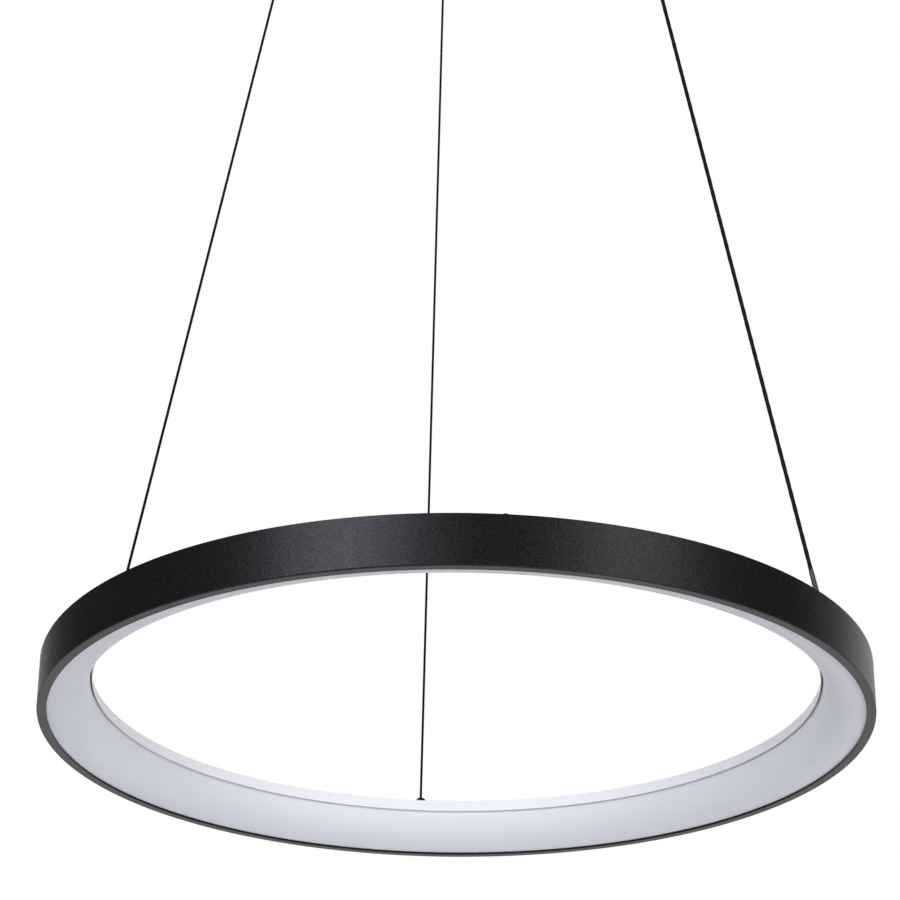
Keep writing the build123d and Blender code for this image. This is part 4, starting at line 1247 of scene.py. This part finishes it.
class PENDANT_OT_canopy_wiring(PieceOperator):
    """Leads and the cord's tail inside the canopy"""

    bl_idname = "pendant.canopy_wiring"
    bl_label = "Canopy wiring"

    lead_radius: length("Lead radius", "Radius of an insulated lead", 0.0009)

    def strand(self, node, radius, slot, finish, points):
        """One lead: a round tube on a smooth curve through its route."""
        name = f"{node}_run"
        curve = spline_curve(name, points)
        curve.bevel_depth = radius
        curve.bevel_resolution = 4
        curve.use_fill_caps = True
        piece = bpy.data.objects.new(name, curve)
        bpy.context.scene.collection.objects.link(piece)
        curve.materials.append(finish)
        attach(piece, "canopy")
        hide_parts(node)

    def execute(self, context):
        made = finishes()
        tail = context.scene.pendant_suspension.cord_diameter / 2
        x, y, _ = grip = run_ends("power_cord")[1]
        self.strand("cord_tail", tail, "black_cord", made["sheath"], [
            grip, (x, y, -0.04), (x, y, -0.024), (x, -0.060, -0.019), (x, 0.0, -0.019), (x, 0.046, -0.019),
            (x - 0.003, 0.067, -0.019), (0.100, 0.070, -0.019), (0.0702, 0.070, -0.019),
        ])
        self.strand("live_lead", self.lead_radius, "brown_insulation", made["brown"], [
            (-0.117, 0.010, -0.012), (-0.117, 0.045, -0.012), (-0.117, 0.068, -0.012),
            (-0.109, 0.076, -0.012), (-0.092, 0.076, -0.012), (-0.0702, 0.076, -0.012),
        ])
        self.strand("neutral_lead", self.lead_radius, "blue_insulation", made["blue"], [
            (-0.105, 0.010, -0.012), (-0.105, 0.038, -0.012), (-0.105, 0.057, -0.012),
            (-0.098, 0.064, -0.012), (-0.085, 0.064, -0.012), (-0.0702, 0.064, -0.012),
        ])
        self.strand("earth_lead", self.lead_radius, "earth_insulation", made["earth"], [
            (-0.093, 0.010, -0.012), (-0.093, 0.022, -0.012), (-0.093, 0.031, -0.0115),
            (-0.089, 0.034, -0.010), (-0.072, 0.034, -0.0045), (-0.067, 0.032, -0.0035),
            (-0.066, 0.024, -0.0035), (-0.066, 0.013, -0.0035),
        ])
        return {"FINISHED"}


CARRIED = {
    "zinc": ("ceiling_bracket", "driver_nuts", "driver_cover_screws", "block_screws", "anchor_nuts",
             "screw_spacers", "anchor_spacers", "earth_screw"),
    "spring": ("left_gripper_balls", "rear_gripper_balls"),
    "nickel": ("left_gripper_plug", "rear_gripper_plug"),
    "black_plastic": ("wire_tails", "wire_ends", "cord_stub"),
    "rubber": ("cord_grip_insert",),
    "white_plastic": ("driver_case", "driver_end_covers"),
    "milky": ("terminal_block",),
    "brass": ("clamp_screws", "earth_tag"),
    "red": ("ring_leads", "board_links"),
    "mask": ("led_boards",),
    "phosphor": ("led_chips",),
}


class PENDANT_OT_carried_pieces(PieceOperator):
    """Finishes of the pieces whose own solids show"""

    bl_idname = "pendant.carried_pieces"
    bl_label = "Carried pieces"

    def execute(self, context):
        made = finishes()
        for finish, nodes in CARRIED.items():
            for node in nodes:
                mesh = frame["nodes"][node].data
                mesh.materials.clear()
                mesh.materials.append(made[finish])
        return {"FINISHED"}


class PENDANT_OT_stage(bpy.types.Operator):
    """Floor, soft light and the camera"""

    bl_idname = "pendant.stage"
    bl_label = "Stage"

    def white_world(self, context, stage):
        """White backdrop to the camera and in reflections, whose room side is dimmer, and an even
        soft light on surfaces."""
        world = bpy.data.worlds.new("soft_room")
        world.use_nodes = True
        tree = world.node_tree
        link = tree.links.new
        light = tree.nodes["Background"]
        set_sockets(light, {"Color": (*WHITE, 1.0)})
        shown = add_node(tree, "Background", Color=(*WHITE, 1.0))
        direction = add_node(tree, "TexCoord").outputs["Generated"]
        split = add_node(tree, "SeparateXYZ")
        link(direction, split.inputs[0])
        above = add_node(tree, "MapRange", To_Min=stage.ambient, To_Max=stage.overhead)
        link(split.outputs["Z"], above.inputs["Value"])
        link(above.outputs["Result"], light.inputs["Strength"])
        facing = add_node(tree, "VectorMath")
        facing.operation = "DOT_PRODUCT"
        facing.inputs[1].default_value = (sin(stage.backdrop), cos(stage.backdrop), 0.0)
        link(direction, facing.inputs[0])
        room = add_node(tree, "MapRange", From_Min=0.5, From_Max=0.92, To_Min=stage.room)
        room.interpolation_type = "SMOOTHSTEP"
        link(facing.outputs["Value"], room.inputs["Value"])
        strength = add_node(tree, "Mix")
        link(add_node(tree, "LightPath").outputs["Is Glossy Ray"], strength.inputs[0])
        strength.inputs[2].default_value = 1.0
        link(room.outputs["Result"], strength.inputs[3])
        link(strength.outputs[0], shown.inputs["Strength"])
        mix = add_node(tree, "MixShader")
        link(seen_directly(tree), mix.inputs[0])
        link(light.outputs[0], mix.inputs[1])
        link(shown.outputs[0], mix.inputs[2])
        link(mix.outputs[0], tree.nodes["World Output"].inputs["Surface"])
        context.scene.world = world

    def white_floor(self, level):
        """Pale floor that stays white in view and still takes the light's shadow."""
        reach, glow = 40.0, 0.65
        corner = np.array([[[-reach, -reach, level], [reach, -reach, level]],
                           [[-reach, reach, level], [reach, reach, level]]])
        mesh = grid_mesh("floor", corner, wrap_columns=False)
        floor = bpy.data.objects.new("floor", mesh)
        bpy.context.scene.collection.objects.link(floor)
        finish, tree, surface = new_finish("pale_floor", Roughness=1.0, Specular_IOR_Level=0.0)
        cloud = noise(tree, coordinates(tree), scale=6.0)
        tint(tree, surface, cloud, shade(WHITE, 0.80), shade(WHITE, 0.82))
        set_sockets(surface, {"Emission Color": (*WHITE, 1.0)})
        lift = add_node(tree, "Math")
        lift.operation = "MULTIPLY"
        lift.inputs[1].default_value = glow
        tree.links.new(seen_directly(tree), lift.inputs[0])
        tree.links.new(lift.outputs[0], surface.inputs["Emission Strength"])
        mesh.materials.append(finish)
        floor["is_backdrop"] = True

    def softbox(self, name, power, tone, size, place, target):
        """Rectangular area lamp that faces a point."""
        lamp = bpy.data.lights.new(name, "AREA")
        lamp.shape = "RECTANGLE"
        lamp.size, lamp.size_y = size
        lamp.energy = power
        lamp.color = tone
        box = bpy.data.objects.new(name, lamp)
        bpy.context.scene.collection.objects.link(box)
        box.location = place
        box.rotation_euler = (Vector(target) - Vector(place)).to_track_quat("-Z", "Y").to_euler()

    def execute(self, context):
        stage = context.scene.pendant_stage
        self.white_world(context, stage)
        self.white_floor(stage.floor)
        ring, below = (0.0, 0.0, RING_LOW.z), (0.1, 0.5, RING_LOW.z)
        for lamp in (
            ("key", stage.key, stage.cool, (1.1, 1.3), (-1.22, -1.80, 0.15), ring),
            ("side", stage.side, WHITE, (1.0, 1.2), (1.30, -1.70, 0.10), ring),
            ("fill", stage.fill, stage.cool, (1.2, 0.6), (1.5, -3.0, -2.08), ring),
            ("under", stage.under, stage.cool, (1.2, 0.4), (0.1, 0.5, -1.5), below),
        ):
            self.softbox(*lamp)
        lens = bpy.data.cameras.new("photo_camera")
        lens.lens = stage.lens
        lens.sensor_width = 36.0
        camera = bpy.data.objects.new("photo_camera", lens)
        context.scene.collection.objects.link(camera)
        look = Euler((pi / 2 + stage.pitch, 0.0, -stage.heading)).to_matrix().to_4x4()
        lean = Matrix.Rotation(stage.roll, 4, "Z")
        camera.matrix_world = Matrix.Translation(stage.camera) @ look @ lean
        context.scene.camera = camera
        context.scene.view_settings.view_transform = "Standard"
        return {"FINISHED"}


OPERATORS = (
    PENDANT_OT_stage,
    PENDANT_OT_suspension,
    PENDANT_OT_ring_housing,
    PENDANT_OT_diffuser,
    PENDANT_OT_carrier_tray,
    PENDANT_OT_top_cover,
    PENDANT_OT_ring_fittings,
    PENDANT_OT_canopy_cup,
    PENDANT_OT_wire_grippers,
    PENDANT_OT_cord_grip,
    PENDANT_OT_canopy_screws,
    PENDANT_OT_canopy_wiring,
    PENDANT_OT_carried_pieces,
)


class PENDANT_PT_panel(bpy.types.Panel):
    """Lists the light's operators and main sizes"""

    bl_label = "Ring pendant light"
    bl_space_type = "VIEW_3D"
    bl_region_type = "UI"
    bl_category = "Pendant"

    def draw(self, context):
        for operator in OPERATORS:
            self.layout.operator(operator.bl_idname)
        for group in GROUPS:
            settings = getattr(context.scene, group)
            for name in settings.bl_rna.properties.keys():
                if name not in {"rna_type", "name"}:
                    self.layout.prop(settings, name)


GROUPS = {
    "pendant_ring": RingSizes,
    "pendant_suspension": SuspensionSizes,
    "pendant_canopy": CanopySizes,
    "pendant_colours": FinishColours,
    "pendant_stage": StageSettings,
}


def register():
    """Registers the settings, the operators and the panel."""
    for name, group in GROUPS.items():
        bpy.utils.register_class(group)
        setattr(bpy.types.Scene, name, bpy.props.PointerProperty(type=group))
    for operator in OPERATORS:
        bpy.utils.register_class(operator)
    bpy.utils.register_class(PENDANT_PT_panel)


def unregister():
    """Takes back what register added."""
    bpy.utils.unregister_class(PENDANT_PT_panel)
    for operator in reversed(OPERATORS):
        bpy.utils.unregister_class(operator)
    for name, group in GROUPS.items():
        delattr(bpy.types.Scene, name)
        bpy.utils.unregister_class(group)


def main():
    """Builds the stage and every piece in order."""
    register()
    for operator in OPERATORS:
        group, call = operator.bl_idname.split(".")
        getattr(getattr(bpy.ops, group), call)()
    boxes = {"cad": [list(corner) for corner in CAD_BOX], "visual": [list(corner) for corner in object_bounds()]}


if __name__ == "__main__":
    main()
